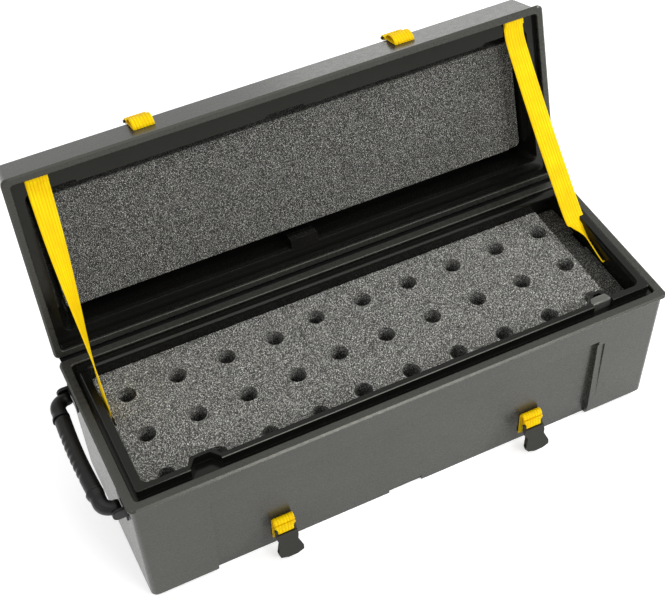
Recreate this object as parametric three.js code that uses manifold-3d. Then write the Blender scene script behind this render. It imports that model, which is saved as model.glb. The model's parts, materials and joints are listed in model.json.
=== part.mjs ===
import * as THREE from "three";
import { mergeVertices } from "three/addons/utils/BufferGeometryUtils.js";
import Module from "manifold-3d";

const wasm = await Module();
wasm.setup();

// All sizes are millimetres. X runs along the case, Y to the hinge side, Z up from the floor.

// Whole case
const case_length = 780;
const case_depth = 270;
const base_height = 212.5;
const lid_height = 73;
const plan_radius = 9;
const play = 0.3;
const overcut = 6;
const lid_open_degrees = 106.6;
const hinge_behind = 1.9;
const hinge_below_rim = 10;
const wall = 4;
const flange_thickness = 5;
const flange_overhang = 4;
const edge_rounding = 2.5;

// Base shell
const base_draft = 3.5;
const bottom_rounding = 8;
const base_rim_flat = 13.6;
const recess_half_length = 288;
const recess_depth = 9.5;
const recess_top_below_rim = 48;
const recess_top_slope = 9;
const recess_corner_step = 10;
const recess_step_depth = 3;
const end_foot_inset = 24;
const end_foot_rise = 3;
const notch_left = -28.5;
const notch_right = 22;
const notch_height = 9;
const notch_reach = 6.5;

// Base liner
const liner_thickness = 3;
const tongue_from_edge = 19;
const tongue_front_from_edge = 20.5;
const tongue_rise = 8.6;
const tongue_bevel = 1;
const tongue_radius = 3;
const back_tongue_rise = 1;
const liner_lip_thickness = 3;
const opening_from_end = 29;
const opening_from_front = 28.5;
const opening_from_back = 28.5;
const opening_flare = 3.2;
const opening_flare_height = 12;
const back_edge_drop = 4;
const back_edge_run = 5;
const back_ramp = 9;
const liner_radius = 8;
const jog_left_from = -304;
const jog_left_to = -254;
const jog_right_from = 279;
const jog_right_to = 317;
const jog_slant = 10;
const jog_left_reach = 12;
const jog_right_reach = 16;
const jog_wall = 4.5;
const jog_bottom_below_rim = 12.5;

// Foam in the base
const foam_below_rim = 18;
const foam_side_gap = 0.4;
const foam_floor_thickness = 22;
const foam_seam_x = -77;
const foam_right_from_end = 64;
const end_strip_drop = 6;
const hole_diameter = 25;
const hole_pitch_x_share = 0.1814103;
const hole_rows = 3;
const hole_pitch_share = 0.3485;
const left_back_row_share = 0.2314;
const right_back_row_share = 0.1878;
const left_block_first_share = -0.8315385;
const left_block_columns = 4;
const right_block_first_share = -0.1189744;
const right_block_columns = 6;
const hole_sides = 20;

// Lid shell and liner, heights counted up from the rim of the closed lid
const lid_draft = 2;
const lid_rounding = 10;
const lid_rim_flat = 10.4;
const lid_corner_from = 332;
const lid_corner_drop = 9;
const lid_liner_lip_rise = 9.5;
const lid_slope_inset = 32.5;
const lid_slope_height = 20.5;
const lid_well_from_end = 34;
const lid_well_from_side = 38;
const lid_foam_face = 31;
const lid_foam_from_side = 52;
const lid_foam_from_end = 38;
const lid_strip_width = 19;
const crest_from = 297;
const crest_gap_left = -33;
const crest_gap_right = 21;
const crest_reach = 3.5;
const crest_back_to = 8;
const crest_back_reach = 14;
const lid_strip_drop = 3;

// Long hinge
const hinge_from_end = 6;
const hinge_knuckles = 11;
const knuckle_radius = 3.6;
const pin_radius = 1.6;
const pin_head_radius = 3;
const pin_head_length = 2;
const leaf_thickness = 1.6;
const base_leaf_height = 28;
const lid_leaf_height = 34;
const lid_leaf_foot_from = 6;

// Webbing and buckles
const web_width = 30;
const web_thickness = 1.8;
const latch_x = 191.5;
const lid_latch_x = 190;
const fold_top = 61;
const web_foot = 16;
const bar_height = 41;
const bar_out = 12;
const bar_radius = 2;
const eye_width = 23.4;
const bar_half_width = 12.6;
const cheek_width = 2.6;
const cheek_top = 2.6;
const socket_lean_degrees = 26;
const socket_thickness = 9;
const socket_neck_half = 13;
const socket_flare_half = 18;
const socket_length = 40;
const socket_stations = { shoulder: 5, neck: 18, flare: 31, end: 37 };
const pocket_half_width = 11.5;
const pocket_height = 4.6;
const pocket_length = 22;
const side_window_from = 26;
const side_window_to = 33;
const rivet_head_radius = 5.5;
const rivet_head_height = 1.8;
const rivet_shank_radius = 2;
const strap_length = 150;
const strap_neck = 8.5;
const strap_bar_half_width = 17;
const middle_eye_width = 14;
const loop_from = 34;
const loop_to = 62;
const loop_proud = 8;
const plug_body_length = 16;
const plug_prong_length = 18;
const plug_prong_width = 5;
const plug_prong_half_spread = 10;

// Stays that hold the lid open
const stay_from_end = 45;
const stay_lid_from_front = 12.5;
const stay_end_length = 26;
const stay_base_y = 30;
const stay_steps = 18;
const stay_tail = 28;
const anchor_radius = 3;
const anchor_head = 1.6;
const anchor_shank = 1.8;
const stay_pocket_depth = 4.5;

// Carrying handle on the left end
const handle_pivot_from_edge = 40;
const handle_below_rim = 30;
const handle_reach = 27;
const elbow_width = 19;
const elbow_half_height = 6;
const elbow_end = 5;
const grip_from_edge = 77;
const grip_radius = 11;
const grip_shoulder = 3;
const core_radius = 5;
const scallop_radius = 10;
const scallop_depth = 1.5;
const scallop_pitch = 16;
const scallops = 4;
const collar_radius = 11.6;
const collar_length = 7;
const bracket_length = 30;
const bracket_below = 17;
const bracket_above = 12;
const bracket_thickness = 3;
const ear_thickness = 5;
const ear_radius = 8;
const ear_skin = 1.4;
const handle_pin_radius = 2.4;

// Worked out from the sizes above
const half_length = case_length / 2;
const half_depth = case_depth / 2;
const rim = base_height;
const wall_x = half_length - flange_overhang;
const wall_y = half_depth - flange_overhang;
const hinge_back = half_depth + hinge_behind;
const hinge_z = rim - hinge_below_rim;
const hinge_half_length = half_length - hinge_from_end;
const opening_half_length = half_length - opening_from_end;
const opening_front = half_depth - opening_from_front;
const opening_back = half_depth - opening_from_back;
const lid_well_half_length = half_length - lid_well_from_end;
const lid_well_half_depth = half_depth - lid_well_from_side;
const lid_foam_half_depth = half_depth - lid_foam_from_side;
const lid_strip_right = half_length - lid_foam_from_end;
const lid_foam_right = lid_strip_right - lid_strip_width;
const stay_x = half_length - stay_from_end;
const handle_pivot_y = half_depth - handle_pivot_from_edge;
const grip_half_length = half_depth - grip_from_edge;
const foam_top = rim - foam_below_rim;
const foam_right_end = half_length - foam_right_from_end;
const hole_pitch_x = half_length * hole_pitch_x_share;
const left_block_first = half_length * left_block_first_share;
const right_block_first = half_length * right_block_first_share;
const recess_top = rim - recess_top_below_rim;
const corner_steps = 5;
const handle_sides = 24;
const quarter_turn = 90;

// Helpers

function merged(geometry) {
  const g = geometry.clone();
  g.deleteAttribute("normal");
  g.deleteAttribute("uv");
  return mergeVertices(g);
}

function solid(geometry) {
  const g = merged(geometry);
  return new wasm.Manifold(
    new wasm.Mesh({
      numProp: 3,
      vertProperties: new Float32Array(g.attributes.position.array),
      triVerts: new Uint32Array(g.index.array),
    }),
  );
}

function geometryOf(manifold) {
  const m = manifold.getMesh();
  const points = new Float32Array(m.numVert * 3);
  for (let i = 0; i < m.numVert; i++) {
    points.set(m.vertProperties.subarray(i * m.numProp, i * m.numProp + 3), i * 3);
  }
  const g = new THREE.BufferGeometry();
  g.setAttribute("position", new THREE.BufferAttribute(points, 3));
  g.setIndex(new THREE.BufferAttribute(new Uint32Array(m.triVerts), 1));
  return g;
}

const join = (...solids) => solids.reduce((a, b) => a.add(b));
const cut = (from, ...tools) => tools.reduce((a, b) => a.subtract(b), from);

// Corner points of a rounded rectangle at one height, anticlockwise seen from above.
function ringAt({ x0, x1, y0, y1, r, z }) {
  const radius = Math.max(Math.min(r, (x1 - x0) / 2, (y1 - y0) / 2), play);
  const corners = [
    [x1 - radius, y0 + radius, -1],
    [x1 - radius, y1 - radius, 0],
    [x0 + radius, y1 - radius, 1],
    [x0 + radius, y0 + radius, 2],
  ];
  const points = [];
  for (const [cx, cy, start] of corners) {
    for (let i = 0; i <= corner_steps; i++) {
      const a = THREE.MathUtils.degToRad(quarter_turn * (start + i / corner_steps));
      points.push([cx + radius * Math.cos(a), cy + radius * Math.sin(a), z]);
    }
  }
  return points;
}

// A closed body through rings of equal point counts, listed from the lowest to the highest.
function loft(rings) {
  const n = rings[0].length;
  const points = rings.flat(2);
  const faces = [];
  for (let k = 0; k < rings.length - 1; k++) {
    for (let i = 0; i < n; i++) {
      const a = k * n + i;
      const b = k * n + ((i + 1) % n);
      faces.push(a, b, b + n, a, b + n, a + n);
    }
  }
  for (const [k, flip] of [
    [0, true],
    [rings.length - 1, false],
  ]) {
    for (let i = 1; i < n - 1; i++) {
      const tri = [k * n, k * n + i, k * n + i + 1];
      faces.push(...(flip ? tri.reverse() : tri));
    }
  }
  const g = new THREE.BufferGeometry();
  g.setAttribute("position", new THREE.BufferAttribute(new Float32Array(points), 3));
  g.setIndex(faces);
  return solid(g);
}

const centred = (hx, hy, r, z) => ringAt({ x0: -hx, x1: hx, y0: -hy, y1: hy, r, z });

function box(x0, x1, y0, y1, z0, z1) {
  const g = new THREE.BoxGeometry(x1 - x0, y1 - y0, z1 - z0);
  g.translate((x0 + x1) / 2, (y0 + y1) / 2, (z0 + z1) / 2);
  return solid(g);
}

// A flat outline of [y, z] points carried along X from x0 to x1.
function alongX(outline, x0, x1, holes = []) {
  const shape = new THREE.Shape(outline.map(([y, z]) => new THREE.Vector2(y, z)));
  for (const hole of holes) {
    shape.holes.push(new THREE.Path(hole.map(([y, z]) => new THREE.Vector2(y, z))));
  }
  const g = new THREE.ExtrudeGeometry(shape, { depth: x1 - x0, bevelEnabled: false });
  g.applyMatrix4(new THREE.Matrix4().set(0, 0, 1, x0, 1, 0, 0, 0, 0, 1, 0, 0, 0, 0, 0, 1));
  return solid(g);
}

// A flat outline of [x, y] points carried up from z0 to z1.
function alongZ(outline, z0, z1) {
  const shape = new THREE.Shape(outline.map(([x, y]) => new THREE.Vector2(x, y)));
  const g = new THREE.ExtrudeGeometry(shape, { depth: z1 - z0, bevelEnabled: false });
  g.translate(0, 0, z0);
  return solid(g);
}

function rod(radius, from, to, sides = 16) {
  const a = new THREE.Vector3(...from);
  const b = new THREE.Vector3(...to);
  const g = new THREE.CylinderGeometry(radius, radius, a.distanceTo(b), sides);
  const turn = new THREE.Quaternion().setFromUnitVectors(
    new THREE.Vector3(0, 1, 0),
    b.clone().sub(a).normalize(),
  );
  g.applyQuaternion(turn);
  const middle = a.add(b).multiplyScalar(1 / 2);
  g.translate(middle.x, middle.y, middle.z);
  return solid(g);
}

const circle = (y, z, r, sides = 20) =>
  Array.from({ length: sides }, (_, i) => {
    const a = (2 * Math.PI * i) / sides;
    return [y + r * Math.cos(a), z + r * Math.sin(a)];
  });

// A band of even thickness that follows a path of [y, z] points, as a closed outline.
function band(path, thickness) {
  const left = [];
  const right = [];
  path.forEach(([y, z], i) => {
    const before = path[Math.max(i - 1, 0)];
    const after = path[Math.min(i + 1, path.length - 1)];
    const run = Math.hypot(after[0] - before[0], after[1] - before[1]);
    const ny = (-(after[1] - before[1]) / run) * (thickness / 2);
    const nz = ((after[0] - before[0]) / run) * (thickness / 2);
    left.push([y + ny, z + nz]);
    right.push([y - ny, z - nz]);
  });
  return [...left, ...right.reverse()];
}

const paint = (color, roughness, metalness = 0) => ({ color, roughness, metalness });
const shell_paint = paint(0x232426, 0.5);
const liner_paint = paint(0x1b1c1e, 0.55);
const foam_paint = paint(0x4a4a4c, 0.95);
const dark_foam_paint = paint(0x2c2c2e, 0.95);
const web_paint = paint(0xf2c400, 0.75);
const buckle_paint = paint(0x2a2a2c, 0.45);
const rubber_paint = paint(0x17181a, 0.6);
const steel_paint = paint(0x55585b, 0.4, 0.9);

const part = new THREE.Group();
const lid = new THREE.Group();
lid.position.set(0, hinge_back, hinge_z);
lid.rotation.x = THREE.MathUtils.degToRad(-lid_open_degrees);
part.add(lid);

function put(group, name, body, coat) {
  const mesh = new THREE.Mesh(geometryOf(body), new THREE.MeshStandardMaterial(coat));
  mesh.name = name;
  if (group === lid) mesh.position.set(0, -hinge_back, -hinge_z);
  group.add(mesh);
}

// Base shell: a drafted tub with a thick flange, recessed between its corner blocks

const flange_under = rim - flange_thickness;
const wall_bottom_x = wall_x - base_draft;
const wall_bottom_y = wall_y - base_draft;
const rounding_shares = [
  [0, 1],
  [0.29, 0.42],
  [1, 0],
];
const base_outside = loft([
  ...rounding_shares.map(([up_share, in_share]) =>
    centred(
      wall_bottom_x - bottom_rounding * in_share,
      wall_bottom_y - bottom_rounding * in_share,
      plan_radius,
      bottom_rounding * up_share,
    ),
  ),
  centred(wall_x, wall_y, plan_radius, flange_under),
  centred(half_length, half_depth, plan_radius, flange_under),
  centred(half_length, half_depth, plan_radius, rim - edge_rounding),
  centred(half_length - edge_rounding, half_depth - edge_rounding, plan_radius, rim),
]);
const recess_face = wall_y - recess_depth;
function recess(side, grow) {
  const face = recess_face - grow;
  const out = half_depth + overcut;
  const outline = [
    [out, -overcut],
    [out, recess_top + grow],
    [wall_y, recess_top + grow],
    [face, recess_top + grow - recess_top_slope],
    [face - base_draft, -overcut],
  ].map(([y, z]) => [side * y, z]);
  const half = recess_half_length + grow;
  return alongX(side > 0 ? outline : outline.reverse(), -half, half);
}
const notch_back = recess_face - notch_reach;
const base_cavity = cut(
  loft([
    centred(wall_bottom_x - wall, wall_bottom_y - wall, plan_radius - wall, wall),
    centred(wall_x - wall, wall_y - wall, plan_radius - wall, flange_under),
    centred(half_length - base_rim_flat, half_depth - base_rim_flat, plan_radius - wall, flange_under),
    centred(half_length - base_rim_flat, half_depth - base_rim_flat, plan_radius - wall, rim + overcut),
  ]),
  recess(-1, wall),
  recess(1, wall),
  box(
    notch_left - wall,
    notch_right + wall,
    -half_depth,
    -notch_back + wall - play,
    0,
    notch_height + wall,
  ),
);
const step_side = (sign) =>
  box(
    Math.min(sign * recess_half_length, sign * (recess_half_length + recess_corner_step)),
    Math.max(sign * recess_half_length, sign * (recess_half_length + recess_corner_step)),
    -half_depth - overcut,
    -wall_y + recess_step_depth,
    -overcut,
    recess_top - recess_top_slope,
  );
const end_step = (sign) =>
  box(
    Math.min(sign * (half_length - end_foot_inset), sign * (half_length + overcut)),
    Math.max(sign * (half_length - end_foot_inset), sign * (half_length + overcut)),
    -half_depth,
    half_depth,
    -overcut,
    end_foot_rise,
  );
const web_wall_y = -(recess_face - base_draft * (1 - fold_top / recess_top));
const web_hole = (x, z) =>
  rod(rivet_shank_radius + play, [x, -half_depth, z], [x, web_wall_y + wall * 2, z]);
const web_rivet_z = web_foot + web_width / 3;
const base_shell = cut(
  base_outside,
  recess(-1, 0),
  recess(1, 0),
  step_side(-1),
  step_side(1),
  end_step(-1),
  end_step(1),
  box(notch_left, notch_right, -half_depth, -notch_back, -overcut, notch_height),
  base_cavity,
  web_hole(-latch_x, web_rivet_z),
  web_hole(latch_x, web_rivet_z),
);
put(part, "base_shell", base_shell, shell_paint);

// Base liner: an inner tub whose rim is the tongue that stands beside the groove

const liner_floor = wall + play;
const lip_top = flange_under - play;
const lip_under = lip_top - liner_lip_thickness;
const tongue_top = rim + tongue_rise;
const inner_x = opening_half_length - opening_flare;
const inner_front = opening_front - opening_flare;
const inner_back = opening_back - opening_flare;
const linerRing = (grow, z, r = liner_radius + grow) =>
  ringAt({
    x0: -inner_x - grow,
    x1: inner_x + grow,
    y0: -inner_front - grow,
    y1: inner_back + grow,
    r,
    z,
  });
const tongue_x = half_length - tongue_from_edge;
const tongueRing = (grow, z) =>
  ringAt({
    x0: -tongue_x - grow,
    x1: tongue_x + grow,
    y0: -half_depth + tongue_front_from_edge - grow,
    y1: half_depth - tongue_from_edge + grow,
    r: tongue_radius,
    z,
  });
const lip_x = wall_x - wall - play;
const lip_y = wall_y - wall - play;
const flare_shares = [
  [0, 0],
  [0.45, 0.2],
  [0.75, 0.5],
  [1, 1],
];
// The tongue's front steps inwards twice: a block adds the inner side, a notch takes the outer.
const jogBlock = (from, to, reach) =>
  alongZ(
    [
      [from, -opening_front - jog_wall],
      [to, -opening_front - jog_wall],
      [to - jog_slant, -opening_front + reach],
      [from + jog_slant, -opening_front + reach],
    ],
    rim - jog_bottom_below_rim,
    tongue_top,
  );
const jogNotch = (from, to, reach) =>
  alongZ(
    [
      [from + jog_wall, -half_depth],
      [to - jog_wall, -half_depth],
      [to - jog_wall, -opening_front - jog_wall],
      [to - jog_slant - jog_wall, -opening_front + reach - jog_wall],
      [from + jog_slant + jog_wall, -opening_front + reach - jog_wall],
      [from + jog_wall, -opening_front - jog_wall],
    ],
    lip_top,
    tongue_top + overcut,
  );
const back_level = rim + back_tongue_rise;
const back_low = alongX(
  [
    [inner_back - back_ramp, tongue_top],
    [inner_back, back_level],
    [half_depth, back_level],
    [half_depth, tongue_top + overcut],
    [inner_back - back_ramp, tongue_top + overcut],
  ],
  -half_length,
  half_length,
);
const back_edge = alongX(
  [
    [inner_back - play, back_level - back_edge_drop],
    [inner_back, back_level - back_edge_drop],
    [inner_back + back_edge_run / 4, back_level - back_edge_drop / 3],
    [inner_back + back_edge_run, back_level],
    [inner_back + back_edge_run, back_level + play],
    [inner_back - play, back_level + play],
  ],
  -inner_x,
  inner_x,
);
const liner_bowl = cut(
  loft([
    linerRing(liner_thickness, liner_floor),
    linerRing(liner_thickness, lip_under),
    centred(lip_x, lip_y, plan_radius - wall, lip_under),
    centred(lip_x, lip_y, plan_radius - wall, lip_top),
    tongueRing(0, lip_top),
    tongueRing(0, tongue_top - tongue_bevel),
    tongueRing(-tongue_bevel, tongue_top),
  ]),
  loft([
    linerRing(0, liner_floor + liner_thickness),
    ...flare_shares.map(([up_share, out_share]) =>
      linerRing(
        opening_flare * out_share,
        tongue_top - opening_flare_height * (1 - up_share),
      ),
    ),
    linerRing(opening_flare, tongue_top + overcut),
  ]),
);
const base_anchor_z = foam_top - stay_tail / 2;
const baseAnchor = (s, radius, from, to) =>
  rod(radius, [s * from, stay_base_y, base_anchor_z], [s * to, stay_base_y, base_anchor_z]);
const anchor_room = web_thickness + play * 2;
put(
  part,
  "base_liner",
  cut(
    join(
      liner_bowl,
      jogBlock(jog_left_from, jog_left_to, jog_left_reach),
      jogBlock(jog_right_from, jog_right_to, jog_right_reach),
    ),
    jogNotch(jog_left_from, jog_left_to, jog_left_reach),
    jogNotch(jog_right_from, jog_right_to, jog_right_reach),
    back_low,
    back_edge,
    ...[-1, 1].map((s) => baseAnchor(s, anchor_shank + play, inner_x - wall, inner_x + wall * 2)),
  ),
  liner_paint,
);

// Foam in the base

const foam_x = inner_x - foam_side_gap;
const foam_front = inner_front - foam_side_gap;
const foam_back = inner_back - foam_side_gap;
const foamRing = (z) =>
  ringAt({ x0: -foam_x, x1: foam_x, y0: -foam_front, y1: foam_back, r: liner_radius, z });
const foam_pad_from = liner_floor + liner_thickness + play;
const foam_pad_to = foam_pad_from + foam_floor_thickness;
const foamSlab = (x0, x1, z0, z1) =>
  loft([foamRing(z0), foamRing(z1)]).intersect(
    box(x0, x1, -half_depth, half_depth, z0 - overcut, z1 + overcut),
  );
const stayPocket = (s) =>
  box(
    Math.min(s * half_length, s * (inner_x - stay_pocket_depth)),
    Math.max(s * half_length, s * (inner_x - stay_pocket_depth)),
    stay_base_y - web_width / 2 - play,
    stay_base_y + web_width / 2 + play,
    foam_top - stay_tail - play,
    rim,
  );
const inner_depth = inner_front + inner_back;
const hole_pitch_y = inner_depth * hole_pitch_share;
const holesFor = (first, columns, row_share) =>
  Array.from({ length: columns * hole_rows }, (_, i) => {
    const x = first + hole_pitch_x * (i % columns);
    const y = inner_back - inner_depth * row_share - hole_pitch_y * Math.floor(i / columns);
    return rod(hole_diameter / 2, [x, y, foam_pad_to - overcut], [x, y, rim], hole_sides);
  });
put(
  part,
  "foam_floor_pad",
  foamSlab(-half_length, half_length, foam_pad_from, foam_pad_to),
  dark_foam_paint,
);
put(
  part,
  "foam_block_left",
  cut(
    foamSlab(-half_length, foam_seam_x - play, foam_pad_to + play, foam_top),
    stayPocket(-1),
    ...holesFor(left_block_first, left_block_columns, left_back_row_share),
  ),
  foam_paint,
);
put(
  part,
  "foam_block_right",
  cut(
    foamSlab(foam_seam_x + play, foam_right_end, foam_pad_to + play, foam_top),
    ...holesFor(right_block_first, right_block_columns, right_back_row_share),
  ),
  foam_paint,
);
put(
  part,
  "trough_foam",
  cut(
    foamSlab(foam_right_end + play * 2, half_length, foam_pad_to + play, foam_top - end_strip_drop),
    stayPocket(1),
  ),
  foam_paint,
);

// Lid shell and liner, built closed and turned open with their group

const lid_floor = rim + play;
const lid_top = rim + lid_height;
const lid_flange_top = lid_floor + flange_thickness;
const lid_top_x = wall_x - lid_draft;
const lid_top_y = wall_y - lid_draft;
const lid_outside = loft([
  centred(half_length - edge_rounding, half_depth - edge_rounding, plan_radius, lid_floor),
  centred(half_length, half_depth, plan_radius, lid_floor + edge_rounding),
  centred(half_length, half_depth, plan_radius, lid_flange_top),
  centred(wall_x, wall_y, plan_radius, lid_flange_top),
  ...[...rounding_shares]
    .reverse()
    .map(([up_share, in_share]) =>
      centred(
        lid_top_x - lid_rounding * in_share,
        lid_top_y - lid_rounding * in_share,
        plan_radius,
        lid_top - lid_rounding * up_share,
      ),
    ),
]);
const corner_cut = (sign, grow) =>
  box(
    Math.min(sign * (lid_corner_from - grow), sign * (half_length + overcut)),
    Math.max(sign * (lid_corner_from - grow), sign * (half_length + overcut)),
    -half_depth,
    half_depth,
    lid_top - lid_corner_drop - grow,
    lid_top + overcut,
  );
const lid_cavity = cut(
  loft([
    centred(half_length - lid_rim_flat, half_depth - lid_rim_flat, plan_radius - wall, rim - overcut),
    centred(half_length - lid_rim_flat, half_depth - lid_rim_flat, plan_radius - wall, lid_flange_top),
    centred(wall_x - wall, wall_y - wall, plan_radius - wall, lid_flange_top),
    centred(lid_top_x - wall, lid_top_y - wall, plan_radius - wall, lid_top - lid_rounding),
    centred(
      lid_top_x - lid_rounding,
      lid_top_y - lid_rounding,
      plan_radius - wall,
      lid_top - wall,
    ),
  ]),
  corner_cut(-1, wall),
  corner_cut(1, wall),
);
const lidRivetHole = (x) =>
  rod(
    rivet_shank_radius + play,
    [x, -wall_y - web_thickness * 2, rim + (loop_from + loop_to) / 2],
    [x, -wall_y + wall * 2, rim + (loop_from + loop_to) / 2],
  );
put(
  lid,
  "lid_shell",
  cut(
    lid_outside,
    corner_cut(-1, 0),
    corner_cut(1, 0),
    lid_cavity,
    lidRivetHole(-lid_latch_x),
    lidRivetHole(lid_latch_x),
  ),
  shell_paint,
);

const lid_lip_from = lid_flange_top + play;
const lid_lip_face = rim + lid_liner_lip_rise;
const lid_liner_top = lid_top - lid_corner_drop - wall - play;
const slope_x = half_length - lid_slope_inset + lid_slope_inset / 4;
const slope_y = half_depth - lid_slope_inset;
const well_from = lid_lip_face + lid_slope_height;
const slab = liner_thickness;
const lid_anchor_y = -half_depth + stay_lid_from_front + anchor_radius + play * 4;
const lidAnchor = (s, radius, from, to) =>
  rod(radius, [s * stay_x, lid_anchor_y, from], [s * stay_x, lid_anchor_y, to]);
const well = (grow, z) =>
  centred(lid_well_half_length + grow, lid_well_half_depth + grow, liner_radius, z);
const lid_liner = cut(
  loft([
    centred(lip_x, lip_y, plan_radius - wall, lid_lip_from),
    centred(lip_x, lip_y, plan_radius - wall, lid_lip_face + slab),
    centred(slope_x + slab, slope_y + slab, liner_radius, lid_lip_face + slab),
    well(slab, well_from + slab),
    well(slab, lid_liner_top),
  ]),
  loft([
    centred(lip_x - slab, lip_y - slab, plan_radius - wall, rim),
    centred(lip_x - slab, lip_y - slab, plan_radius - wall, lid_lip_face),
    centred(slope_x, slope_y, liner_radius, lid_lip_face),
    well(0, well_from),
    well(0, lid_liner_top - slab),
  ]),
);
// Crests stand on the edge of the liner's inner wall: two long ones in front, a short one behind.
const crestBar = (from, to, y0, y1) => box(from, to, y0, y1, lid_lip_face, well_from);
put(
  lid,
  "lid_liner",
  cut(
    join(
      lid_liner,
      crestBar(-crest_from, crest_gap_left, -slope_y - play, -slope_y + crest_reach),
      crestBar(crest_gap_right, crest_from, -slope_y - play, -slope_y + crest_reach),
      crestBar(crest_gap_left, crest_back_to, slope_y - crest_back_reach, slope_y + play),
    ),
    ...[-1, 1].map((s) => lidAnchor(s, anchor_shank + play, lid_lip_face - wall, lid_lip_face + wall * 2)),
  ),
  liner_paint,
);
const lid_foam_back = lid_liner_top - slab - play;
const lidFoamSlab = (x0, x1, z) =>
  loft(
    [z, lid_foam_back].map((level) =>
      ringAt({
        x0: -lid_strip_right,
        x1: lid_strip_right,
        y0: -lid_foam_half_depth,
        y1: lid_foam_half_depth,
        r: liner_radius,
        z: level,
      }),
    ),
  ).intersect(box(x0, x1, -half_depth, half_depth, rim, lid_top));
put(lid, "lid_foam", lidFoamSlab(-half_length, lid_foam_right, rim + lid_foam_face), foam_paint);
put(
  lid,
  "lid_foam_strip",
  lidFoamSlab(lid_foam_right + play * 2, half_length, rim + lid_foam_face + lid_strip_drop),
  foam_paint,
);

// Long hinge at the back

const knuckle_pitch = (2 * hinge_half_length) / hinge_knuckles;
const knuckleSpan = (i) => [
  -hinge_half_length + knuckle_pitch * i + play / 2,
  -hinge_half_length + knuckle_pitch * (i + 1) - play / 2,
];
const pinHole = rod(
  pin_radius + play,
  [-half_length, hinge_back, hinge_z],
  [half_length, hinge_back, hinge_z],
);
const base_knuckles = [];
const lid_knuckles = [];
for (let i = 0; i < hinge_knuckles; i++) {
  const [x0, x1] = knuckleSpan(i);
  const barrel = rod(knuckle_radius, [x0, hinge_back, hinge_z], [x1, hinge_back, hinge_z]);
  if (i % 2) {
    lid_knuckles.push(
      barrel,
      box(x0, x1, hinge_back - leaf_thickness / 2, hinge_back + leaf_thickness / 2, hinge_z, rim),
    );
  } else {
    base_knuckles.push(
      barrel,
      box(x0, x1, wall_y + play, hinge_back, hinge_z - knuckle_radius, hinge_z),
    );
  }
}
const base_leaf = box(
  -hinge_half_length,
  hinge_half_length,
  wall_y + play,
  wall_y + play + leaf_thickness,
  hinge_z - base_leaf_height,
  hinge_z,
);
put(part, "hinge_base_leaf", cut(join(base_leaf, ...base_knuckles), pinHole), steel_paint);
const lid_leaf_z = rim - flange_thickness + play;
const lid_leaf = join(
  box(
    -hinge_half_length,
    hinge_half_length,
    hinge_back - leaf_thickness / 2,
    hinge_back + leaf_thickness / 2,
    lid_leaf_z,
    rim + lid_leaf_height,
  ),
  box(
    -hinge_half_length,
    hinge_half_length,
    wall_y + play,
    hinge_back,
    rim + lid_leaf_foot_from,
    rim + lid_leaf_height,
  ),
);
put(lid, "hinge_lid_leaf", cut(join(lid_leaf, ...lid_knuckles), pinHole), steel_paint);
put(
  part,
  "hinge_pin",
  join(
    rod(
      pin_radius,
      [-hinge_half_length - pin_head_length, hinge_back, hinge_z],
      [hinge_half_length + pin_head_length, hinge_back, hinge_z],
    ),
    ...[-1, 1].map((s) =>
      rod(
        pin_head_radius,
        [s * (hinge_half_length + play), hinge_back, hinge_z],
        [s * (hinge_half_length + play + pin_head_length), hinge_back, hinge_z],
      ),
    ),
  ),
  steel_paint,
);

// Lower webbing tabs with their buckle sockets on the front of the base

const bar_y = web_wall_y - bar_out;
const eyeRing = (y, z, x0, x1) =>
  alongX(
    circle(y, z, bar_radius + play + web_thickness),
    x0,
    x1,
    [circle(y, z, bar_radius + play).reverse()],
  );
function arcPath(cy, cz, r, from, to, steps) {
  return Array.from({ length: steps + 1 }, (_, i) => {
    const a = THREE.MathUtils.degToRad(from + ((to - from) * i) / steps);
    return [cy + r * Math.cos(a), cz + r * Math.sin(a)];
  });
}
const fold_radius = (bar_out - play - web_thickness) / 2;
const fold_y = web_wall_y - play - web_thickness / 2 - fold_radius;
const fold_z = fold_top - web_thickness / 2 - fold_radius;
const front_leg_y = fold_y - fold_radius;
const eye_middle = bar_radius + play + web_thickness / 2;
const web_path = [
  [fold_y + fold_radius, web_foot],
  ...arcPath(fold_y, fold_z, fold_radius, 0, 180, 10),
  [front_leg_y, bar_height + eye_middle],
];
const eye_half = eye_width / 2;
function latchWeb(x) {
  const strip = alongX(band(web_path, web_thickness).reverse(), x - web_width / 2, x + web_width / 2);
  const narrow = join(
    box(
      x - web_width,
      x - eye_half,
      -half_depth,
      fold_y,
      -overcut,
      bar_height + bar_radius + web_thickness * 3,
    ),
    box(
      x + eye_half,
      x + web_width,
      -half_depth,
      fold_y,
      -overcut,
      bar_height + bar_radius + web_thickness * 3,
    ),
  );
  const eye = eyeRing(bar_y, bar_height, x - eye_half, x + eye_half);
  const clear = rod(
    bar_radius + play,
    [x - web_width, bar_y, bar_height],
    [x + web_width, bar_y, bar_height],
    20,
  );
  return cut(join(cut(strip, narrow), eye), clear, web_hole(x, web_rivet_z));
}

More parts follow.
